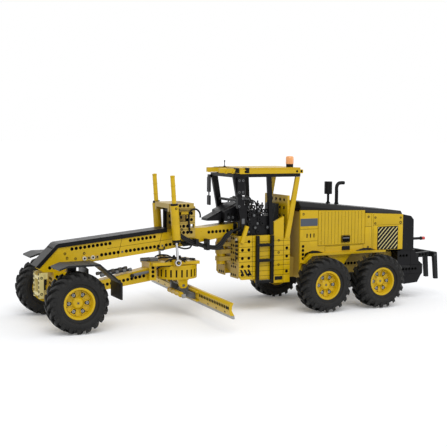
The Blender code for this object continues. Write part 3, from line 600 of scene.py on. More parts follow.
class GRADER_OT_tyres(bpy.types.Operator):
    """Add the six tyres with their lugs"""

    bl_idname = "grader.tyres"
    bl_label = "Tyres"

    def execute(self, context):
        for row, name, side in WHEELS:
            moulding = Moulding()
            tyre_mesh(moulding, middle_of(f"tyre_{row}_{name}"), side)
            moulding.build(f"lugged_tyre_{row}_{name}", f"wheel_{row}_{name}", "rubber",
                           (f"tyre_{row}_{name}",))
        return {"FINISHED"}


class GRADER_OT_rims(bpy.types.Operator):
    """Add the six rims with their holes and axle ends"""

    bl_idname = "grader.rims"
    bl_label = "Rims"

    def execute(self, context):
        for row, name, side in WHEELS:
            node = f"rim_{row}_{name}"
            centre = middle_of(f"tyre_{row}_{name}")
            outward = Vector((0, side, 0))
            disc = centre + outward * 8
            cutters = Moulding()
            for index in range(6):
                angle = index * math.pi / 3
                spoke = Vector((math.cos(angle), 0, math.sin(angle)))
                drill_hole(cutters, disc + spoke * 16.3, -outward, 9, 3.3)
            carved(node, f"drilled_rim_{row}_{name}", "yellow_plastic", "yellow", cutters, 0.4)
            trim = Moulding()
            trim.ring(disc - outward * 0.4, outward, 3.4, 7.2, 1.6, "yellow_plastic")
            trim.ring(disc - outward * 0.2, outward, 20.2, 22.4, 1.2, "yellow_plastic", 48)
            trim.turned([(0, 3.4), (0.9, 3.4)], disc, outward, "shadow_plastic", 16)
            axle_end(trim, disc + outward * 0.9, outward, "grey_plastic")
            for index in range(6):
                angle = index * math.pi / 3
                spoke = Vector((math.cos(angle), 0, math.sin(angle)))
                pin_at = disc + spoke * 16.3
                trim.ring(pin_at - outward * 0.7, outward, 2.9, 4.4, 1.0, "shadow_plastic", 20)
                trim.ring(pin_at - outward * 2.5, outward, 1.2, 3.0, 2.7, "light_grey_plastic", 20)
                trim.turned([(0, 1.3), (2.0, 1.3)], pin_at - outward * 2.5, outward,
                            "grey_plastic", 12)
            for index in range(12):
                angle = (index + 0.5) * math.pi / 6
                spoke = Vector((math.cos(angle), 0, math.sin(angle)))
                along = Vector((-math.sin(angle), 0, math.cos(angle)))
                outline = [spoke * 10.5 - along * 0.6, spoke * 10.5 + along * 0.6,
                           spoke * 22.5 + along * 0.6, spoke * 22.5 - along * 0.6]
                trim.plate(outline, disc - outward * 0.5, outward * 1.5, "yellow_plastic")
            trim.build(f"hub_{row}_{name}", f"wheel_{row}_{name}", "yellow")
        return {"FINISHED"}


# ---------------------------------------------------------------- hood and tail

def clipped(outline, normal, limit):
    """The part of a flat outline of (x, z) points where their dot with normal is under limit."""
    kept = []
    for (ax, az), (bx, bz) in zip(outline, outline[1:] + outline[:1]):
        a = ax * normal[0] + az * normal[1] - limit
        b = bx * normal[0] + bz * normal[1] - limit
        if a <= 0:
            kept.append((ax, az))
        if a * b < 0:
            share = a / (a - b)
            kept.append((ax + share * (bx - ax), az + share * (bz - az)))
    return kept


def diagonal_slats(moulding, x, z, face, side, finish, width=3.4, pitch=9.0):
    """Slanted bars that fill a rectangle, cut off at its edges."""
    corners = [(x[0], z[0]), (x[1], z[0]), (x[1], z[1]), (x[0], z[1])]
    start = x[0] + z[0] - width
    while start < x[1] + z[1]:
        bar = clipped(corners, (1, 1), start + width)
        bar = clipped(bar, (-1, -1), -start)
        if len(bar) > 2:
            moulding.plate([at(px, face, pz) for px, pz in bar], (0, 0, 0), (0, side * 0.5, 0),
                           finish)
        start += pitch


def seams(cutters, side, face, lines, depth=0.7):
    """Grooves in a side face, each a (x0, x1, z0, z1) with its x or its z the same at both ends."""
    half = sizes().seam_width / 2
    for x0, x1, z0, z1 in lines:
        groove(cutters, at(min(x0, x1) - half, side * (face - depth), min(z0, z1) - half),
               at(max(x0, x1) + half, side * (face + 1), max(z0, z1) + half))


def hood_edge(x):
    """Height of the hood's upper edge, which the side panels and doors follow."""
    low, high = span("hood_door_left")
    share = (at(x, 0, 0).x - low.x) / (high.x - low.x)
    return high.z - 1.5 + share * 1.5


class GRADER_OT_hood(bpy.types.Operator):
    """Add the hood's sides, doors and top with their seams, slots and grilles"""

    bl_idname = "grader.hood"
    bl_label = "Hood"

    def execute(self, context):
        for name, side in SIDES:
            face = abs(span(f"hood_door_{name}")[1 if side > 0 else 0].y) - 3.0
            self.panels(name, side, face)
            self.door(name, side, face)
            self.trim(name, side, face)
        self.top()
        return {"FINISHED"}

    def panels(self, name, side, face):
        cutters = Moulding()
        seams(cutters, side, face, (
            (-77, -77, 112, 184), (-81, -81, 112, 183), (-77, -57, 158, 158),
            (-156, -81, 160, 160), (52, 93, 158, 158), (52, 93, 134, 134),
            (-57, 35, 121.5, 121.5), (35, 35, 110, 121.5), (-57, -57, 110, 121.5)))
        hole_row(cutters, at(-28, side * face, 93), (-PITCH, 0, 0), 3, (0, -side, 0), 3)
        hole_row(cutters, at(86, side * face, 100), (0, 0, PITCH), 4, (0, -side, 0), 3)
        carved(f"hood_side_{name}", f"hood_panels_{name}", "yellow_plastic", "yellow", cutters)

    def door(self, name, side, face):
        cutters = Moulding()
        ribs = [(x, x, 126, hood_edge(x) - 3) for x in range(-52, 48, 8)]
        seams(cutters, side, face, ribs, 0.5)
        carved(f"hood_door_{name}", f"hood_door_panel_{name}", "yellow_plastic", "yellow", cutters)
        trim = Moulding()
        trim.block(at(-23.6, side * (face + 0.2), 128.4), at(-3.4, side * (face + 3), 142.6),
                   "black_plastic", 0.8)
        trim.block(at(-21, side * (face + 2.5), 136), at(-6, side * (face + 3.4), 138.5),
                   "grey_plastic", 0.2)
        for x, z in ((-52, 186), (44, 188), (-52, 132), (44, 132)):
            pin_head(trim, at(x, side * face, z), (0, side, 0), "yellow_plastic", 0.4)
        trim.build(f"door_pins_{name}", f"hood_door_{name}", "yellow")

    def trim(self, name, side, face):
        trim = Moulding()
        y0, y1 = side * (face - 0.6), side * (face + 0.5)
        trim.block(at(53, y0, 164), at(92.6, y1, 179), "plate_plastic", 0.3)
        for x in (60, 68, 76):
            trim.block(at(x, y0, 141), at(x + 2.4, side * (face + 0.3), 149), "shadow_plastic", 0.1)
        trim.block(at(-144, y0, 108.5), at(-92, side * (face + 0.4), 157), "black_plastic", 0.3)
        diagonal_slats(trim, (-142.5, -93.5), (110, 155.5), side * (face + 0.3), side,
                       "stripe_and_highlight_yellow_plastic", 2.3, 9.4)
        trim.block(at(-24, y0, 112.6), at(-5, side * (face + 2.4), 120.8), "black_plastic", 0.9)
        for x, z in ((-86, 176), (-150, 174), (-69, 178), (-69, 116), (-86, 164), (86, 188)):
            pin_head(trim, at(x, side * face, z), (0, side, 0))
        trim.ring(at(-150, side * (face - 0.4), 164), (0, side, 0), 1.8, 3.0, 0.9, "black_plastic")
        trim.build(f"hood_trim_{name}", "rear_frame", "yellow")

    def top(self):
        """Shallow seams across the sloping cover."""
        low, high = span("hood_cover")
        cutters = Moulding()
        half = sizes().seam_width / 2
        for index in range(1, COVER_SEAMS + 1):
            share = index / (COVER_SEAMS + 1)
            x = low.x + (high.x - low.x) * share
            surface = COVER_REAR_TOP + (high.z - COVER_REAR_TOP) * share
            cutters.block((x - half, low.y + 12, surface - 0.9),
                          (x + half, high.y - 12, surface + 3), None, 0)
        carved("hood_cover", "hood_top", "black_plastic", "black", cutters, 0.8)


class GRADER_OT_tail(bpy.types.Operator):
    """Add the radiator housing, tail lamps, counterweight and ripper"""

    bl_idname = "grader.tail"
    bl_label = "Tail"

    def execute(self, context):
        cutters = Moulding()
        for index in range(7):
            z = 113 + index * PITCH
            cutters.block(at(-192, -38, z), at(-188, 38, z + 3), None, 0)
        carved("radiator_housing", "radiator_grille", "black_plastic", "black", cutters, 0.5)
        lamps = Moulding()
        rear = span("radiator_housing")[0].x
        for _, side in SIDES:
            lamps.pin((rear, side * 44, 127), (rear + 7, side * 44, 127), 3.5, "red_plastic")
            lamps.ring((rear + 8, side * 44, 127), (1, 0, 0), 2.7, 3.9, 2, "dark_grey_plastic")
            for z in (116, 148):
                pin_head(lamps, at(-172, side * 50, z), (0, side, 0), "dark_grey_plastic")
        lamps.build("tail_lamps", "rear_frame", "black")
        self.weight()
        self.ripper()
        return {"FINISHED"}

    def weight(self):
        cutters = Moulding()
        for _, side in SIDES:
            seams(cutters, side, 48, ((-216, -150, 72, 72), (-212, -150, 53, 53),
                                      (-184, -184, 53, 104), (-166, -166, 34, 53)))
            hole_row(cutters, at(-158, side * 48, 63), (-PITCH, 0, 0), 6, (0, -side, 0))
            hole_row(cutters, at(-158, side * 48, 92), (-PITCH, 0, 0), 3, (0, -side, 0))
        for y in (-32, -16, 16, 32):
            drill_hole(cutters, at(-216, y, 62), (1, 0, 0))
        carved("counterweight", "tail_weight", "black_plastic", "black", cutters, 0.4)

    def ripper(self):
        cutters = Moulding()
        for _, side in SIDES:
            hole_row(cutters, at(-216, side * 38, 90.6), (-PITCH, 0, 0.2), 3, (0, -side, 0), 3)
        carved("ripper", "ripper_frame", "dark_grey_plastic", "dark_grey", cutters, 0.4)
        caps = Moulding()
        for y in (-48, -16, 16, 48):
            axle_end(caps, at(-250, y, 92), (-1, 0, 0), "black_plastic", 0.4)
        for _, side in SIDES:
            axle_end(caps, at(-246, side * 52, 91), (0, side, 0), "grey_plastic", 0.5)
        caps.build("ripper_pins", "ripper", "dark_grey")


class GRADER_OT_stacks(bpy.types.Operator):
    """Add the air intake and the exhaust pipe"""

    bl_idname = "grader.stacks"
    bl_label = "Intake and Exhaust"

    def execute(self, context):
        carved("air_intake", "intake_canister", "black_plastic", "black", None, 0.5)
        carved("exhaust_pipe", "exhaust_elbow", "black_plastic", "black", None, 0.2)
        trim = Moulding()
        low, high = span("air_intake")
        centre = (low + high) / 2
        for z in (high.z - 22, high.z - 16, high.z - 10, high.z - 4):
            trim.ring((centre.x, centre.y, z), (0, 0, 1), 7.6, 8.15, 1.6, "dark_grey_plastic", 24)
        for x, y in ((-14, -12), (-19, 12)):
            foot = at(x, y, low.z - 0.2)
            trim.ring(foot, (0, 0, 1), 2.7, 4.6, 3.0, "dark_grey_plastic")
        trim.build("stack_collars", "rear_frame", "black")
        return {"FINISHED"}


# ---------------------------------------------------------------- cab

class GRADER_OT_cab(bpy.types.Operator):
    """Add the cab's skirts, cage, roof, ladders and mirrors"""

    bl_idname = "grader.cab"
    bl_label = "Cab"

    def execute(self, context):
        for name, side in SIDES:
            self.skirt(name, side)
            self.ladder(name, side)
        self.cage()
        self.rear_wall()
        self.roof()
        return {"FINISHED"}

    def skirt(self, name, side):
        low, high = span(f"cab_skirt_{name}")
        face = max(abs(low.y), abs(high.y))
        cutters = Moulding()
        for index in range(8):
            z = 70 + 9.6 * index
            seams(cutters, side, face, ((113, 225, z, z),), 0.5)
        seams(cutters, side, face, ((149, 149, 55, 149), (196, 196, 66, 149), (127, 127, 55, 149)))
        for z in (122, 106, 76):
            drill_hole(cutters, at(119.5, side * face, z), (0, -side, 0), 4)
        hole_row(cutters, at(218, side * face, 74), (0, 0, 2 * PITCH), 5, (0, -side, 0), 4)
        hole_row(cutters, at(204, side * face, 74), (0, 0, 2 * PITCH), 5, (0, -side, 0), 4)
        carved(f"cab_skirt_{name}", f"skirt_panels_{name}", "yellow_plastic", "yellow", cutters)
        trim = Moulding()
        for index in range(3):
            x = 197 + index * PITCH
            outline = [at(x, 0, 72), at(x + 4, 0, 72), at(x + 10, 0, 84), at(x + 6, 0, 84)]
            trim.plate(outline, (0, side * (face - 0.3), 0), (0, side * 0.6, 0), "black_plastic")
        for z in (90, 114, 138):
            pin_head(trim, at(138, side * face, z), (0, side, 0))
        trim.block(at(129, side * (face - 0.5), 60), at(146, side * (face + 0.6), 67),
                   "dark_grey_plastic")
        trim.build(f"skirt_trim_{name}", "rear_frame", "black")

    def ladder(self, name, side):
        carved(f"cab_ladder_{name}", f"ladder_{name}", "black_plastic", "black", None, 0.5)
        low, high = span(f"cab_ladder_{name}")
        outer = max(abs(low.y), abs(high.y))
        treads = Moulding()
        for z, finish in ((62, "grey_plastic"), (103, "dark_grey_plastic"),
                          (133, "dark_grey_plastic")):
            for index in range(3):
                x = 162.5 + index * PITCH
                treads.block(at(x, side * (outer - 6), z - 0.2),
                             at(x + 5, side * (outer - 1.2), z + 0.7), finish, 0.2)
        for x in (155, 187):
            for z in (66, 78, 90, 112, 122, 142):
                pin_head(treads, at(x, side * (outer - 1), z), (0, side, 0), "black_plastic", 0.3)
        treads.build(f"ladder_treads_{name}", "rear_frame", "black")

    def cage(self):
        carved("cab_frame", "cab_cage", "black_plastic", "dark_grey", None, 0.0)
        trim = Moulding()
        for bottom, top in ((231, 257), (205, 220)):
            trim.block(at(239.4, -47.5, bottom), at(240.2, -57.5, top), "silver_plastic", 0.2)
        for x, z in ((220, 256), (228, 256), (220, 234), (228, 234), (220, 222), (228, 207)):
            pin_head(trim, at(x, 54, z), (0, 1, 0), "grey_plastic", 0.3)
        trim.hose((at(214, 51, 226), at(206, 52, 224), at(200, 52, 214), at(204, 51, 204)), 1.5,
                  "hose_rubber")
        for _, side in SIDES:
            for share, finish in ((0.25, "grey_plastic"), (0.5, "dark_grey_plastic"),
                                  (0.75, "grey_plastic")):
                x = 212 + share * 20.5
                z = 149 + share * 115
                trim.block(at(x - 3, side * 49.6, z - 5), at(x + 3, side * 50.7, z + 5), finish)
            for x in (100, 116, 132, 148, 180, 196, 212):
                pin_head(trim, at(x, side * 50, 265.3), (0, side, 0), "dark_grey_plastic", 0.3)
        trim.build("cage_trim", "rear_frame", "dark_grey")

    def rear_wall(self):
        cutters = Moulding()
        for y in range(-32, 33, 16):
            hole_row(cutters, at(117, y, 168), (0, 0, 16), 4, (-1, 0, 0), 3)
            hole_row(cutters, at(112.3, y, 216), (0, 0, 16), 1, (1, 0, 0), 1.5)
        carved("cab_rear_wall", "rear_wall_bricks", "yellow_plastic", "yellow", cutters)

    def roof(self):
        cutters = Moulding()
        low, high = span("cab_roof")
        half = sizes().seam_width / 2
        for x in (120, 156, 190, 218):
            groove(cutters, at(x - half, low.y - 1, high.z - 0.8), at(x + half, high.y + 1,
                                                                      high.z + 1))
        for y in (-26, 26):
            groove(cutters, at(84, y - half, high.z - 0.8), at(219, y + half, high.z + 1))
        for _, side in SIDES:
            for x in (90, 100, 214):
                drill_hole(cutters, at(x, side * 52, high.z - 7.4), (0, -side, 0), 4, 1.7)
        carved("cab_roof", "roof_panels", "yellow_plastic", "yellow", cutters, 0.5)
        aerial = Moulding()
        foot = at(224, -18, high.z)
        for low_end, high_end, radius in ((0, 2, 2.4), (1.5, 11, 0.8), (10, 13, 1.3)):
            aerial.pin(foot + Vector((0, 0, low_end)), foot + Vector((0, 0, high_end)), radius,
                       "black_plastic", 8, 0.2)
        for _, side in SIDES:
            aerial.plate([at(219, side * 12, 0), at(219, side * 30, 0), at(244, side * 30, 0),
                          at(238, side * 16, 0)], (0, 0, high.z - 2), (0, 0, 1.6), "black_plastic")
            aerial.plate([at(206, side * 33, 0), at(206, side * 52.2, 0), at(213, side * 52.2, 0),
                          at(213, side * 33, 0)], (0, 0, high.z - 10), (0, 0, 10.2), "black_plastic")
            aerial.plate([at(226.4, side * 36, 0), at(226.4, side * 49, 0), at(234, side * 44, 0),
                          at(234, side * 36, 0)], (0, 0, high.z - 9), (0, 0, 8.6), "black_plastic")
            for x, y in ((228, 40), (240, 34)):
                claw = [(x + 10 * math.sin(a), 10 * math.cos(a) - 10)
                        for a in [math.radians(18 * k) for k in range(6)]]
                claw += [(px - 3.4 * math.sin(math.radians(18 * k)),
                          pz - 3.4 * math.cos(math.radians(18 * k)))
                         for k, (px, pz) in reversed(list(enumerate(claw)))]
                aerial.plate([at(px, side * y, high.z - 1 + pz) for px, pz in claw],
                             (0, 0, 0), (0, side * 5, 0), "yellow_plastic")
        aerial.build("aerial", "rear_frame", "black")
        self.beacon()

    def beacon(self):
        low, high = span("beacon")
        x, y = (low.x + high.x) / 2, (low.y + high.y) / 2
        dome = Moulding()
        reach = high.z - low.z
        dome.turned([(0, 6.8), (0.4, 7.2), (5.4, 7.2), (5.8, 6.9), (5.8, 5.6)], (x, y, low.z),
                    (0, 0, 1), "black_plastic", 28)
        dome.turned([(5.7, 7.0), (6.2, 7.9), (reach - 3, 7.9), (reach - 1.6, 7.3), (reach - 0.5, 6.0),
                     (reach, 4.0)], (x, y, low.z), (0, 0, 1), "orange_plastic", 28)
        for z in (8, 11, 14):
            dome.ring((x, y, low.z + z), (0, 0, 1), 7.7, 8.15, 0.9, "orange_plastic", 28)
        dome.build("beacon_dome", "rear_frame", "orange", ("beacon",))


class GRADER_OT_controls(bpy.types.Operator):
    """Add the console, levers, wheel and seat inside the cab"""

    bl_idname = "grader.controls"
    bl_label = "Controls"

    def execute(self, context):
        cutters = Moulding()
        for _, side in SIDES:
            hole_row(cutters, at(222, side * 28, 190), (PITCH, 0, 0), 3, (0, -side, 0), 4)
        carved("dash_console", "console", "black_plastic", "dark_grey", cutters, 0.5)
        carved("control_pod", "pod", "black_plastic", "black", None, 0.5)
        carved("seat", "driver_seat", "dark_grey_plastic", "black", None, 2.0)
        parts = Moulding()
        for _, side in SIDES:
            for index in range(4):
                foot = at(202, side * (14 + 7 * index), 196)
                tip = foot + Vector((-7, 0, 21))
                parts.pin(foot, tip, 1.1, "dark_grey_plastic", 8, 0.2)
                parts.pin(tip - Vector((0, 0, 1)), tip + Vector((0, 0, 4)), 2.2, "grey_plastic", 10)
        parts.pin(at(206, 0, 196), at(190, 0, 216), 1.8, "dark_grey_plastic", 12)
        tilt = Vector((-16, 0, 20)).normalized()
        parts.ring(at(190, 0, 216), tilt, 9.0, 11.0, 2, "black_plastic", 28)
        parts.block(at(189, -9.5, 214.5), at(191.4, 9.5, 217), "black_plastic")
        for _, side in SIDES:
            for x in (176, 186):
                pin_head(parts, at(x, side * 34, 190), (0, side, 0), "light_grey_plastic", 0.4)
            for index in range(2):
                pin_head(parts, at(228 + 9 * index, side * 28, 184), (0, side, 0), "grey_plastic",
                         0.4)
        self.gears(parts)
        parts.build("levers_and_wheel", "rear_frame", "dark_grey")
        return {"FINISHED"}


    def gears(self, parts):
        """Small gears, bushes and axle ends packed round the control pod."""
        for _, side in SIDES:
            for row, z in enumerate((156, 164, 172, 180, 188, 196, 204)):
                for column in range(4 + row % 2):
                    x = 200 - 9 * column - 3 * (row % 2)
                    spot = at(x, side * (39 + 2 * ((row + column) % 3)), z)
                    teeth = 8 + 4 * ((row * 3 + column) % 2)
                    parts.ring(spot, (0, side, 0), 1.6, 4.4, 2.4, "black_plastic", teeth)
                    if (row + 2 * column) % 3 == 0:
                        parts.ring(spot, (0, side, 0), 0.6, 2.4, 2.9, "grey_plastic", 12)
            for x, z in ((204, 206), (192, 212), (180, 210), (170, 206)):
                parts.pin(at(x, side * 30, z), at(x, side * 43, z), 2.0, "black_plastic", 10)
                parts.pin(at(x, side * 34, z - 14), at(x - 3, side * 34, z + 6), 1.6,
                          "black_plastic", 8)
            parts.hose((at(206, side * 40, 206), at(198, side * 43, 216), at(188, side * 42, 214),
                        at(182, side * 40, 202)), 1.5, "hose_rubber")


# ---------------------------------------------------------------- front frame

BEAM_SLOPE = 0.097


def beam_row(cutters, side, face, start, count, skip=()):
    """Holes along the front beam, rising to the rear."""
    step = Vector((-PITCH, 0, BEAM_SLOPE * PITCH))
    hole_row(cutters, at(start[0], side * face, start[1]), step, count, (0, -side, 0), 5, skip)


class GRADER_OT_beam(bpy.types.Operator):
    """Add the front beam with its rows of holes, and the covers on its top and nose"""

    bl_idname = "grader.beam"
    bl_label = "Front Beam"

    def execute(self, context):
        face = span("main_beam")[1].y
        cutters = Moulding()
        lower, upper = (490.8, 122.7), (546.8, 136.0)
        for _, side in SIDES:
            beam_row(cutters, side, face, lower, 24, (5, 15))
            beam_row(cutters, side, face, upper, 21, (10, 11, 12, 13))
            for index in (4.5, 14.5):
                x = lower[0] - PITCH * index
                z = lower[1] + BEAM_SLOPE * PITCH * index
                outline = [at(x + 5.3, 0, z - 14), at(x + 6, 0, z - 14), at(x - 3.3, 0, z + 26),
                           at(x - 4, 0, z + 26)]
                cutters.plate(outline, (0, side * (face - 0.7), 0), (0, side * 3, 0), None)
            hole_row(cutters, at(588, side * face, 104), (-PITCH, 0, 0), 6, (0, -side, 0), 4)
            hole_row(cutters, at(274, side * face, 156), (-PITCH, 0, 0.3), 7, (0, -side, 0), 4)
            seam_z = lower[1] + 9.6
            outline = [at(480, 0, seam_z + 1.05), at(480, 0, seam_z + 1.6),
                       at(306, 0, seam_z + 18.5), at(306, 0, seam_z + 17.9)]
            cutters.plate(outline, (0, side * (face - 0.6), 0), (0, side * 3, 0), None)
        carved("main_beam", "beam_bricks", "yellow_plastic", "yellow", cutters)
        self.covers()
        self.pins(face)
        return {"FINISHED"}

    def covers(self):
        cutters = Moulding()
        low, high = span("beam_cover")
        half = sizes().seam_width / 2
        for x in (532, 492, 452, 412, 380):
            top = 139 + 8 + (572 - x) * BEAM_SLOPE
            groove(cutters, at(x - half, low.y - 1, top - 0.8), at(x + half, high.y + 1, top + 2))
            groove(cutters, at(x - half, high.y - 0.6, top - 9), at(x + half, high.y + 1, top + 2))
        for y in (-12, -4, 4, 12):
            for x, z in ((582, 137.6), (598, 119.5)):
                drill_hole(cutters, at(x, y, z), (-0.75, 0, -0.66), 3, 1.9)
        carved("beam_cover", "nose_cover", "black_plastic", "black", cutters, 0.7)

    def pins(self, face):
        trim = Moulding()
        for _, side in SIDES:
            for index, finish in ((5, "grey_plastic"), (15, "grey_plastic")):
                place_at = at(490.8 - PITCH * index, side * face, 122.7 + BEAM_SLOPE * PITCH * index)
                axle_end(trim, place_at, (0, side, 0), finish)
            for x, z in ((540, 118), (556, 120), (560, 128), (524, 127)):
                pin_head(trim, at(x, side * face, z), (0, side, 0))
            trim.block(at(214, side * (face - 0.6), 151), at(222, side * (face + 1.2), 171),
                       "black_plastic")
        trim.ring(at(240, 0, 92), (0, 0, 1), 4.2, 7.5, 3, "grey_plastic")
        trim.build("beam_pins", "front_frame", "black")
        self.running_gear()

    def running_gear(self):
        """Shafts, bushes and hoses that show under and beside the beam."""
        gear = Moulding()
        for _, side in SIDES:
            for index in range(4):
                foot = at(524 - PITCH * index, side * 19.6, 118 + 0.6 * index)
                finish = ("white_plastic", "tan_and_shaded_yellow_plastic")[index % 2]
                gear.ring(foot - Vector((0, side * 2.8, 0)), (0, side, 0), 1.9, 3.8, 3.2, finish, 18)
                gear.pin(foot - Vector((0, side * 2.6, 0)), foot + Vector((0, side * 0.8, 0)), 1.9,
                         "black_plastic", 12)
            gear.block(at(496, side * 17.1, 113), at(528, side * 18.2, 124), "yellow_plastic", 0.4)
            gear.pin(at(507, side * 12, 111.5), at(434, side * 12, 121), 1.3, "dark_grey_plastic", 8)
            for reach in (0.25, 0.5, 0.75):
                spot = at(507, side * 12, 111.5).lerp(at(434, side * 12, 121), reach)
                gear.pin(spot - Vector((3, 0, -0.4)), spot + Vector((3, 0, -0.4)), 2.1,
                         "grey_plastic", 12)
        gear.build("beam_shafts", "front_frame", "dark_grey")
        hoses = Moulding()
        for index in range(3):
            out, drop = 22.6 + 3.4 * index, 3.6 * index
            hoses.hose((at(352, out - 4, 170 - drop), at(338, out + 4, 156 - drop),
                        at(322, out + 4, 146 - drop), at(303, out, 139 - drop)), 1.7, "hose_rubber")
        for side in (1, -1):
            hoses.hose((at(345, side * 20, 134), at(340, side * 27, 130.5), at(330, side * 29, 128),
                        at(319, side * 27, 129), at(311, side * 20, 134)), 1.6, "hose_rubber")
            hoses.hose((at(366, side * 14, 133), at(368, side * 20, 129), at(372, side * 21, 126.5),
                        at(379, side * 20, 128), at(383, side * 13, 133)), 1.5, "hose_rubber")
        hoses.build("beam_hose_loops", "front_frame", "black")
        crossing = Moulding()
        for index in range(3):
            out, drop = 21.5 + 4.0 * index, 2.5 * index
            crossing.hose((at(262, out, 129 - drop), at(252, out, 136 - drop),
                           at(241, out + 0.5, 150 - drop), at(230, out + 1, 156.5),
                           at(218, out + 1, 158 + 2 * index), at(208, out, 162 + 2 * index)), 1.8,
                          "hose_rubber", 8, 10)
        made = bpy.data.objects.new("crossing_hoses", crossing.mesh("crossing_hoses"))
        bpy.context.scene.collection.objects.link(made)
        made.data.shade_smooth()
        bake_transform(made)


class GRADER_OT_axle(bpy.types.Operator):
    """Add the front axle, knuckles, fenders and nose bracket with their pins and bushes"""

    bl_idname = "grader.axle"
    bl_label = "Front Axle"

    def execute(self, context):
        cutters = Moulding()
        axle = FRONT_AXLE.x - TANDEM.x
        for _, side in SIDES:
            hole_row(cutters, at(axle + 12, side * 24, 88), (-PITCH, 0, 0), 4, (0, -side, 0), 5)
            hole_row(cutters, at(axle + 12, side * 24, 74), (-PITCH, 0, 0), 4, (0, -side, 0), 5)
            hole_row(cutters, at(axle + 8, side * 30, 53.5), (0, side * PITCH, 0), 3, (-1, 0, 0), 5)
            hole_row(cutters, at(axle - 8, side * 30, 53.5), (0, side * PITCH, 0), 3, (1, 0, 0), 5)
        for y in (-8, 0, 8):
            hole_row(cutters, at(axle + 17.2, y, 50), (0, 0, PITCH), 5, (-1, 0, 0), 4)
        carved("front_axle", "axle_bricks", "yellow_plastic", "yellow", cutters)
        self.bushes(axle)
        self.bracket()
        for name, side in SIDES:
            self.knuckle(name, side, axle)
            self.fender(name, side, axle)
        return {"FINISHED"}

    def bushes(self, axle):
        parts = Moulding()
        for _, side in SIDES:
            for z, finish in ((96, "white_plastic"), (90, "tan_and_shaded_yellow_plastic"), (82, "white_plastic")):
                parts.pin(at(axle - 22, side * 15, z - 3), at(axle - 22, side * 15, z + 3), 3.6,
                          finish, 16)
            parts.pin(at(axle - 22, side * 15, 66), at(axle - 22, side * 15, 99.5), 2.2,
                      "black_plastic", 8)
            parts.block(at(axle - 24, side * 12, 74), at(axle - 16, side * 18, 78),
                        "dark_grey_plastic")
            start = at(axle + 3, side * 24, 62)
            parts.pin(start, start + Vector((0, side * 24, 0)), 3.2, "dark_grey_plastic", 12)
            for reach in (4, 12, 20):
                centre = start + Vector((0, side * reach, 0))
                parts.ring(centre, (0, side, 0), 3.0, 4.6, 3, "dark_grey_plastic", 14)
            axle_end(parts, at(axle, side * 24, 80), (0, side, 0), "grey_plastic")
            parts.ring(at(axle, side * 62, 67.8), (0, 0, -1), 3.9, 6.6, 0.8, "black_plastic", 20)
        parts.build("axle_bushes", "front_frame", "dark_grey")

    def bracket(self):
        cutters = Moulding()
        for _, side in SIDES:
            hole_row(cutters, at(608.2, side * 16, 54), (0, 0, PITCH), 6, (-1, 0, 0), 5)
        # The liftarms are yellow; the paler stripe yellow they take is a painted highlight.
        carved("nose_bracket", "nose_liftarms", "stripe_and_highlight_yellow_plastic", "tan", cutters, 0.5)
        pins = Moulding()
        for _, side in SIDES:
            for z in (58, 87):
                pin_head(pins, at(604, side * 20, z), (0, side, 0))
        pins.build("nose_pins", "front_frame", "black")

    def knuckle(self, name, side, axle):
        carved(f"knuckle_{name}", f"steering_block_{name}", "dark_grey_plastic", "dark_grey",
               None, 0.4)
        parts = Moulding()
        for x in (-6, 6):
            axle_end(parts, at(axle + x, side * 73.6, 46), (0, side, 0), "black_plastic", 0.4)
        parts.ring(at(axle, side * 62, 39.6), (0, 0, -1), 4.6, 6.4, 1.2, "black_plastic", 20)
        parts.build(f"knuckle_pins_{name}", f"steer_{name}", "dark_grey")

    def fender(self, name, side, axle):
        low, high = span(f"fender_{name}")
        cutters = Moulding()
        half = sizes().seam_width / 2
        for x in (-20, 4):
            groove(cutters, at(axle + x - half, low.y - 1, high.z - 0.8),
                   at(axle + x + half, high.y + 1, high.z + 1))
        for y in (75, 91, 107):
            drill_hole(cutters, at(axle - 77, side * y, 82), (1, 0, 0), 2.5, 1.9)
            drill_hole(cutters, at(axle - 77, side * y, 66), (1, 0, 0), 2.5, 1.9)
        carved(f"fender_{name}", f"fender_panels_{name}", "dark_grey_plastic", "dark_grey",
               cutters, 0.6)
        pins = Moulding()
        for z in (80, 88, 96, 104, 112):
            pin_head(pins, at(axle, side * 74, z), (0, side, 0), "black_plastic", 0.4)
            pin_head(pins, at(axle, side * 67, z), (0, -side, 0), "grey_plastic", 0.4)
        pins.build(f"fender_pins_{name}", f"steer_{name}", "dark_grey")


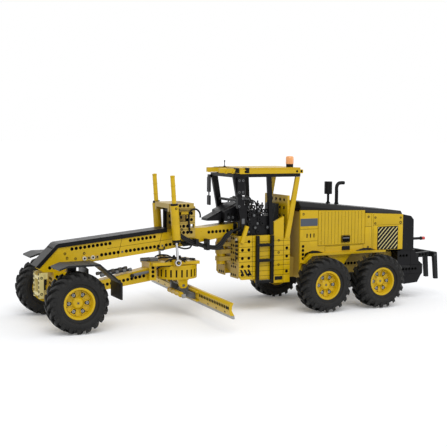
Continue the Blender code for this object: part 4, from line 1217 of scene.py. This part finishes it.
class GRADER_OT_lift(bpy.types.Operator):
    """Add the lift saddle, its cylinders and their rods"""

    bl_idname = "grader.lift"
    bl_label = "Lift Saddle and Cylinders"

    def execute(self, context):
        high = span("lift_saddle")[1]
        face = 23.5
        cutters = Moulding()
        for _, side in SIDES:
            for z in (158, 170, 182, 194):
                hole_row(cutters, at(314, side * face, z), (PITCH, 0, 0), 4, (0, -side, 0), 4)
            seams(cutters, side, face, ((306, 346, 164, 164), (306, 346, 176, 176),
                                        (306, 346, 188, 188), (306, 346, 200, 200)))
            hole_row(cutters, at(326, side * 34, high.z - 4.5), (PITCH, 0, 0), 4, (0, -side, 0), 4)
            groove(cutters, at(324, side * (face - 8), 178.5), at(338, side * (face + 2), 191.5))
            groove(cutters, at(309, side * (face - 8), 166.5), at(318, side * (face + 2), 173.5))
        for y in (-14, -2, 10):
            groove(cutters, at(322, y, high.z - 10), at(338, y + 5, high.z + 1))
        # The saddle's bricks are yellow; the darker tan they take is painted shade.
        carved("lift_saddle", "saddle_bricks", "tan_and_shaded_yellow_plastic", "tan", cutters)
        trim = Moulding()
        for _, side in SIDES:
            for x in (318, 334):
                pin_head(trim, at(x, side * face, 164), (0, side, 0))
            bow = [at(308 + 12 * math.cos(a), side * (face + 1.2), 188 + 14 * math.sin(a))
                   for a in [math.radians(20 * k - 10) for k in range(11)]]
            trim.hose([at(318, side * (face + 1.2), 158), at(319.5, side * (face + 1.2), 172), *bow],
                      1.7, "black_plastic")
            trim.block(at(339, side * (face - 0.4), 162), at(345, side * (face + 1.4), 204),
                       "black_plastic", 0.5)
            for z in (168, 176, 184, 192):
                pin_head(trim, at(342, side * (face + 1.4), z), (0, side, 0), "dark_grey_plastic", 0.4)
            trim.block(at(321, side * (face - 0.3), 192.5), at(336, side * (face + 2), 198),
                       "yellow_plastic", 0.4)
            trim.block(at(347, side * 18, 152), at(353, side * 24, 204), "black_plastic", 0.6)
        trim.block(at(346.5, -19, 196), at(352, 19, 203), "black_plastic", 0.6)
        for z in (172, 184):
            trim.block(at(330, -17, z), at(344, 17, z + 5), "black_plastic", 0.6)
        trim.build("saddle_pins", "front_frame", "black")
        for name, side in SIDES:
            self.cylinder(name, side)
        return {"FINISHED"}

    def cylinder(self, name, side):
        joints = {joint["name"]: joint for joint in frame["joints"]}
        pivot = Vector(joints[f"lift_barrel_{name}_swing"]["pos_m"]) / MM
        upward = Vector(joints[f"lift_rod_{name}_slide"]["axis"])
        carved(f"lift_barrel_{name}", f"cylinder_{name}", "yellow_plastic", "yellow", None, 0.4)
        parts = Moulding()
        parts.ring(pivot - upward * 63.8, upward, 3.0, 8.6, 5, "black_plastic", 8)
        parts.ring(pivot - upward * 34, upward, 7.8, 8.5, 3, "yellow_plastic", 8)
        parts.ring(pivot + upward * 5, upward, 4.1, 7.2, 4, "black_plastic", 8)
        for reach in (22, 41):
            parts.ring(pivot + upward * reach, upward, 4.0, 4.6, 2, "yellow_plastic", 24)
        parts.turned([(0, 4.0), (0.8, 4.5), (3.2, 4.5), (3.8, 3.9)],
                     pivot + upward * 57.4, upward, "yellow_plastic", 24)
        pin_head(parts, pivot + Vector((0, side * 7.9, 0)), (0, side, 0), "black_plastic", 0.6)
        parts.build(f"cylinder_collars_{name}", f"lift_barrel_{name}", "yellow")


# ---------------------------------------------------------------- drawbar, circle, blade

class GRADER_OT_drawbar(bpy.types.Operator):
    """Add the drawbar with its holes, motor and pins"""

    bl_idname = "grader.drawbar"
    bl_label = "Drawbar"

    def execute(self, context):
        cutters = Moulding()
        for _, side in SIDES:
            step = Vector((-PITCH, 0, PITCH * 0.155))
            hole_row(cutters, at(526, side * 11, 59.5), step, 16, (0, -side, 0), 4)
        hole_row(cutters, at(391, 20, 78), (0, 0, PITCH), 3, (0, -1, 0), 4)
        hole_row(cutters, at(391, -20, 78), (0, 0, PITCH), 3, (0, 1, 0), 4)
        top = span("circle_drive")[0].z - 0.3
        for y in (-26, -18, 18, 26):
            hole_row(cutters, at(308, y, top), (2 * PITCH, 0, 0), 3, (0, 0, -1), 3)
        carved("drawbar", "drawbar_beams", "yellow_plastic", "yellow", cutters)
        carved("circle_drive", "drive_motor", "grey_plastic", "dark_grey", None, 0.5)
        parts = Moulding()
        for _, side in SIDES:
            pin_head(parts, at(540, side * 13.5, 57), (0, side, 0), "black_plastic")
            parts.pin(at(430, side * 11, 80), at(430, side * 16, 80), 3.4, "dark_grey_plastic")
            parts.pin(at(414, side * 11, 82), at(414, side * 14.5, 82), 2.4, "blue_plastic")
            parts.pin(at(398, side * 15, 86), at(428, side * 15, 81.5), 2.6, "grey_plastic")
            parts.ring(at(350.5, side * 47.4, 104), (0, side, 0), 1.4, 3.4, 1.6, "black_plastic")
            parts.pin(at(492, side * 12, 84), at(432, side * 12, 92), 2.4, "dark_grey_plastic", 12)
            for reach in (0.06, 0.3, 0.54, 0.78, 0.97):
                spot = at(492, side * 12, 84).lerp(at(432, side * 12, 92), reach)
                parts.pin(spot - Vector((3, 0, -0.4)), spot + Vector((3, 0, -0.4)), 3.3,
                          "grey_plastic", 12)
            parts.hose((at(372, side * 26, 101), at(364, side * 31, 108), at(352, side * 33, 110),
                        at(338, side * 33, 108), at(328, side * 30, 101)), 1.5, "hose_rubber")
            parts.hose((at(356, side * 18, 101), at(350, side * 24, 110), at(342, side * 28, 106),
                        at(338, side * 26, 99)), 1.5, "hose_rubber")
            for x, y, z in ((322, 12, 101), (330, 22, 101), (342, 14, 101), (356, 26, 100)):
                parts.pin(at(x, side * y, z - 3), at(x, side * y, z + 7), 3.0, "black_plastic", 12)
                parts.pin(at(x, side * y, z + 6), at(x, side * y, z + 9), 1.9, "grey_plastic", 12)
            parts.hose((at(384, side * 17, 90), at(376, side * 24, 96), at(360, side * 30, 96.6),
                        at(344, side * 33, 94), at(330, side * 33, 97)), 1.4, "hose_rubber")
        parts.build("drawbar_pins", "drawbar", "black")
        return {"FINISHED"}


class GRADER_OT_blade(bpy.types.Operator):
    """Add the circle, the blade's carrier and ram, the blade and its edge"""

    bl_idname = "grader.blade"
    bl_label = "Circle and Blade"

    def execute(self, context):
        joints = {joint["name"]: joint for joint in frame["joints"]}
        along = Vector(joints["blade_shift"]["axis"])
        ahead = Vector((along.y, -along.x, 0))
        pivot = Vector(joints["blade_tilt"]["pos_m"]) / MM
        self.circle()
        self.blade(along, ahead, pivot)
        self.ram(along, ahead, pivot)
        return {"FINISHED"}

    def circle(self):
        low, high = span("circle")
        centre = Vector(((low.x + high.x) / 2, (low.y + high.y) / 2, 0))
        radius = (high.x - low.x) / 2
        cutters = Moulding()
        for index in range(24):
            angle = (index + 0.5) * math.pi / 12
            spoke = Vector((math.cos(angle), math.sin(angle), 0))
            across = Vector((-spoke.y, spoke.x, 0))
            outline = [centre + spoke * (radius - 1.8) - across * 1.6,
                       centre + spoke * (radius + 2) - across * 1.6,
                       centre + spoke * (radius + 2) + across * 1.6,
                       centre + spoke * (radius - 1.8) + across * 1.6]
            cutters.plate(outline, (0, 0, 75), (0, 0, 14), None)
        carved("circle", "circle_ring", "yellow_plastic", "yellow", cutters, 0.4)
        parts = Moulding()
        parts.ring(centre + Vector((0, 0, 91.5)), (0, 0, 1), radius - 2, radius - 0.1, 2,
                   "yellow_plastic", 48)
        for _, side in SIDES:
            for x in (-26, -14, 14, 26):
                pin_head(parts, centre + Vector((x, side * 16, 71.2)), (0, 0, -1), "tan_and_shaded_yellow_plastic")
            for x in (-12, 12):
                parts.block(centre + Vector((x - 4, side * 20 - 3, 66.5)),
                            centre + Vector((x + 4, side * 20 + 3, 71.2)), "tan_and_shaded_yellow_plastic")
        parts.build("circle_trim", "circle", "yellow")

    def blade(self, along, ahead, pivot):
        cutters = Moulding()
        face = pivot - ahead * 16
        for index in range(-27, 28):
            if abs(index) < 10:
                continue
            spot = face + along * (index * PITCH) + Vector((0, 0, 46 - pivot.z))
            drill_hole(cutters, spot, -ahead, 3.2)
        carved("blade", "mouldboard", "yellow_plastic", "yellow", cutters)
        carved("cutting_edge", "blade_edge", "light_grey_plastic", "light_grey", None, 0.3)
        parts = Moulding()
        for way in (-1, 1):
            for reach, height in ((214, 46), (200, 38), (120, 38), (160, 38)):
                spot = face + along * (way * reach) + Vector((0, 0, height - pivot.z))
                if height == 38:
                    spot -= ahead * 0.9
                parts.pin(spot - ahead * 1, spot + ahead * 0.8, 2.3, "black_plastic", 12, 0.3)
        for index in range(-13, 14):
            spot = face + along * (index * 16) + Vector((0, 0, 30.5 - pivot.z)) - ahead * 5.6
            parts.pin(spot - ahead * 1, spot + ahead * 0.7, 1.5, "dark_grey_plastic", 10, 0.3)
        parts.build("blade_pins", "blade", "black")

    def ram(self, along, ahead, pivot):
        carved("blade_carrier", "carrier_bricks", "grey_plastic", "light_grey", None, 0.5)
        carved("shift_cylinder", "shift_ram", "yellow_plastic", "yellow", None, 0.4)
        parts = Moulding()
        axis_at = pivot + ahead * 9 - Vector((0, 0, 15))
        for reach in (-17, 0, 22, 44):
            parts.ring(axis_at + along * reach, along, 4.4, 5.2, 3, "yellow_plastic", 20)
        for reach in (-19, 62):
            parts.block(axis_at + along * (reach - 2) + Vector((-3, 0, -4)),
                        axis_at + along * (reach + 3) + Vector((3, 0, 3)), "light_grey_plastic")
        parts.build("ram_rings", "blade_carrier", "yellow")


class GRADER_OT_chassis(bpy.types.Operator):
    """Add the rear frame and tandem housings, and give the plain nodes their finishes"""

    bl_idname = "grader.chassis"
    bl_label = "Chassis"

    # node, finish
    PLAIN = (("engine", "grey_plastic"), ("cab_floor", "dark_grey_plastic"),
             ("beam_hoses", "hose_rubber"), ("drawbar_hose", "hose_rubber"),
             ("lift_rod_left", "silver_plastic"), ("lift_rod_right", "silver_plastic"))

    def execute(self, context):
        cutters = Moulding()
        for _, side in SIDES:
            hole_row(cutters, at(220, side * 44, 100), (-PITCH, 0, 0), 12, (0, -side, 0), 4)
            hole_row(cutters, at(78, side * 26, 80), (-PITCH, 0, 0), 27, (0, -side, 0), 4)
        # The frame's bricks are yellow; the darker tan they take is painted shade.
        carved("rear_frame", "frame_bricks", "tan_and_shaded_yellow_plastic", "tan", cutters)
        self.front_wall()
        for name, side in SIDES:
            low, high = span(f"tandem_housing_{name}")
            face = max(abs(low.y), abs(high.y))
            cutters = Moulding()
            hole_row(cutters, at(-48, side * face, 53.5), (PITCH, 0, 0), 13, (0, -side, 0), 5)
            carved(f"tandem_housing_{name}", f"tandem_beam_{name}", "dark_grey_plastic",
                   "dark_grey", cutters, 0.5)
        for node, finish in self.PLAIN:
            slots = frame["nodes"][node].data.materials
            slots.clear()
            slots.append(bpy.data.materials[finish])
        return {"FINISHED"}


    def front_wall(self):
        """The brick wall under the front of the cab, with its pins and the slanted post."""
        wall = Moulding()
        for _, side in SIDES:
            # The wall's bricks are yellow; the darker tan they take is painted shade.
            for low, high in ((66, 93.4), (94, 121.4), (122, 148.6)):
                wall.block(at(222.6, side * 12.5, low), at(225, side * 43.6, high), "tan_and_shaded_yellow_plastic")
            for y in (18, 26, 34):
                for z in (72, 88, 101, 115, 129, 143):
                    spot = at(225, side * y, z)
                    wall.ring(spot - Vector((0.8, 0, 0)), (1, 0, 0), 0.2, 2.9, 0.9,
                              "shadow_plastic", 16)
            for y, z in ((26, 94), (34, 108), (18, 122), (34, 136)):
                pin_head(wall, at(225, side * y, z), (1, 0, 0))
            wall.ring(at(225, side * 38, 141), (1, 0, 0), 0.3, 3.4, 1.4, "white_plastic", 18)
            for z in (104, 112, 120, 128, 136):
                wall.block(at(225, side * 40, z), at(228.6, side * 45, z + 4), "black_plastic", 0.4)
            foot, top = at(221, side * 47, 136), at(210, side * 47, 168.6)
            across = Vector((3.4, 0, 1.2))
            wall.plate([foot - across, foot + across, top + across, top - across],
                       (0, side * 3.3, 0), (0, side * 4.4, 0), "yellow_plastic")
        wall.build("front_wall", "rear_frame", "tan")


# ---------------------------------------------------------------- finishes and studio

class GRADER_OT_finishes(bpy.types.Operator):
    """Make the moulded plastics, the rubber and the clear lamp plastics"""

    bl_idname = "grader.finishes"
    bl_label = "Finishes"

    def execute(self, context):
        colours = context.scene.grader_colours
        moulded, rubber = moulded_group(), rubber_group()
        for name, shade, dust, gloss in PLASTICS:
            values = {"Colour": (*getattr(colours, name), 1.0), "Brick Shade": shade,
                      "Dust": dust, "Gloss": gloss}
            finish_material(name, moulded, values, 0.12,
                            Specular_IOR_Level=0.16 if name in DARK_PLASTICS else 0.32)
        finish_material("tyre_rubber", rubber, {"Colour": (*colours.tyre_rubber, 1.0),
                                                "Dust": 0.05}, 0.5, Specular_IOR_Level=0.2)
        finish_material("silver_plastic", moulded, {"Colour": (*colours.silver_plastic, 1.0),
                                                    "Brick Shade": 0.0, "Gloss": 0.16}, 0.05,
                        Metallic=0.85)
        for name in ("orange_plastic", "red_plastic"):
            finish_material(name, moulded, {"Colour": (*getattr(colours, name), 1.0),
                                            "Brick Shade": 0.0, "Gloss": 0.08}, 0.05,
                            Coat_Weight=0.6, Coat_Roughness=0.05)
        return {"FINISHED"}


def ray_mix(tree, seen, other):
    """Mixes two shaders: what camera, mirror and clear rays see, and what lights the scene."""
    rays = tree.nodes.new("ShaderNodeLightPath")
    direct = math_node(tree, "MAXIMUM", rays.outputs["Is Camera Ray"],
                       rays.outputs["Is Glossy Ray"])
    direct = math_node(tree, "MAXIMUM", direct, rays.outputs["Is Transmission Ray"])
    mix = tree.nodes.new("ShaderNodeMixShader")
    tree.links.new(direct, mix.inputs[0])
    tree.links.new(other, mix.inputs[1])
    tree.links.new(seen, mix.inputs[2])
    return mix.outputs[0]


class GRADER_OT_studio(bpy.types.Operator):
    """Add the white floor, the soft light and the camera"""

    bl_idname = "grader.studio"
    bl_label = "Studio"

    def execute(self, context):
        scene = context.scene
        studio = scene.grader_studio
        self.floor(scene, studio)
        self.world(scene, studio)
        self.lamps(scene, studio)
        self.camera(scene, studio)
        scene.view_settings.view_transform = "Standard"
        return {"FINISHED"}

    def floor(self, scene, studio):
        half = studio.floor_size / 2
        data = bpy.data.meshes.new("floor")
        corners = [(-half, -half, 0), (half, -half, 0), (half, half, 0), (-half, half, 0)]
        data.from_pydata(corners, [], [(0, 1, 2, 3)])
        made = bpy.data.materials.new("floor_white")
        made.use_nodes = True
        tree = made.node_tree
        shader = tree.nodes["Principled BSDF"]
        shader.inputs["Base Color"].default_value = (0.90, 0.91, 0.93, 1.0)
        shader.inputs["Roughness"].default_value = 0.9
        shader.inputs["Specular IOR Level"].default_value = 0.0
        glow = tree.nodes.new("ShaderNodeEmission")
        glow.inputs["Color"].default_value = (1.0, 0.99, 0.97, 1.0)
        glow.inputs["Strength"].default_value = studio.floor_lift
        both = tree.nodes.new("ShaderNodeAddShader")
        tree.links.new(shader.outputs[0], both.inputs[0])
        tree.links.new(glow.outputs[0], both.inputs[1])
        mixed = ray_mix(tree, both.outputs[0], shader.outputs[0])
        tree.links.new(mixed, tree.nodes["Material Output"].inputs["Surface"])
        data.materials.append(made)
        floor = bpy.data.objects.new("floor", data)
        scene.collection.objects.link(floor)

    def world(self, scene, studio):
        world = bpy.data.worlds.new("studio_sky")
        world.use_nodes = True
        tree = world.node_tree
        tree.nodes.clear()
        shown = tree.nodes.new("ShaderNodeBackground")
        light = tree.nodes.new("ShaderNodeBackground")
        shown.inputs["Color"].default_value = (1.0, 1.0, 1.0, 1.0)
        light.inputs["Color"].default_value = (1.0, 1.0, 1.0, 1.0)
        light.inputs["Strength"].default_value = studio.sky_strength
        out = tree.nodes.new("ShaderNodeOutputWorld")
        mixed = ray_mix(tree, shown.outputs[0], light.outputs[0])
        tree.links.new(mixed, out.inputs["Surface"])
        scene.world = world

    def lamps(self, scene, studio):
        for name, strength, angle, heading, height in (
                ("key_lamp", studio.key_strength, 45.0, 75.0, 52.0),
                ("fill_lamp", studio.key_strength * 0.35, 70.0, 170.0, 35.0)):
            data = bpy.data.lights.new(name, "SUN")
            data.energy = strength
            data.angle = math.radians(angle)
            lamp = bpy.data.objects.new(name, data)
            lamp.rotation_euler = (0.0, math.radians(90.0 - height), math.radians(heading))
            scene.collection.objects.link(lamp)

    def camera(self, scene, studio):
        heading, dip, roll = studio.camera_turn
        ahead = Vector((math.cos(dip) * math.cos(heading), math.cos(dip) * math.sin(heading),
                        -math.sin(dip)))
        right = Vector((math.sin(heading), -math.cos(heading), 0.0))
        up = right.cross(ahead)
        turned_right = math.cos(roll) * right + math.sin(roll) * up
        turned_up = -math.sin(roll) * right + math.cos(roll) * up
        data = bpy.data.cameras.new("camera")
        data.lens = studio.lens
        data.sensor_width = 36.0
        data.clip_start = 0.05
        camera = bpy.data.objects.new("camera", data)
        axes = Matrix((turned_right, turned_up, -ahead)).transposed().to_4x4()
        camera.matrix_world = Matrix.Translation(Vector(studio.camera_place)) @ axes
        scene.collection.objects.link(camera)
        scene.camera = camera


# ---------------------------------------------------------------- panel and run

OPERATORS = (GRADER_OT_finishes, GRADER_OT_studio, GRADER_OT_tyres, GRADER_OT_rims,
             GRADER_OT_hood, GRADER_OT_tail, GRADER_OT_stacks, GRADER_OT_cab,
             GRADER_OT_controls, GRADER_OT_beam, GRADER_OT_axle, GRADER_OT_lift,
             GRADER_OT_drawbar, GRADER_OT_blade, GRADER_OT_chassis)


class GRADER_PT_panel(bpy.types.Panel):
    """Lists the grader's settings and the buttons that add its pieces"""

    bl_idname = "GRADER_PT_panel"
    bl_label = "Motor Grader"
    bl_space_type = "VIEW_3D"
    bl_region_type = "UI"
    bl_category = "Grader"

    def draw(self, context):
        scene = context.scene
        for group in (scene.grader_sizes, scene.grader_colours, scene.grader_studio):
            box = self.layout.box()
            for name in group.__annotations__:
                box.prop(group, name)
        for operator in OPERATORS:
            self.layout.operator(operator.bl_idname)


CLASSES = (GraderColours, GraderSizes, GraderStudio, *OPERATORS, GRADER_PT_panel)


def register():
    for item in CLASSES:
        bpy.utils.register_class(item)
    bpy.types.Scene.grader_colours = PointerProperty(type=GraderColours)
    bpy.types.Scene.grader_sizes = PointerProperty(type=GraderSizes)
    bpy.types.Scene.grader_studio = PointerProperty(type=GraderStudio)


def unregister():
    del bpy.types.Scene.grader_studio
    del bpy.types.Scene.grader_sizes
    del bpy.types.Scene.grader_colours
    for item in reversed(CLASSES):
        bpy.utils.unregister_class(item)


def main():
    register()
    for name in ("finishes", "studio", "tyres", "rims", "hood", "tail", "stacks", "cab",
                 "controls", "beam", "axle", "lift", "drawbar", "blade", "chassis"):
        getattr(bpy.ops.grader, name)()


if __name__ == "__main__":
    main()
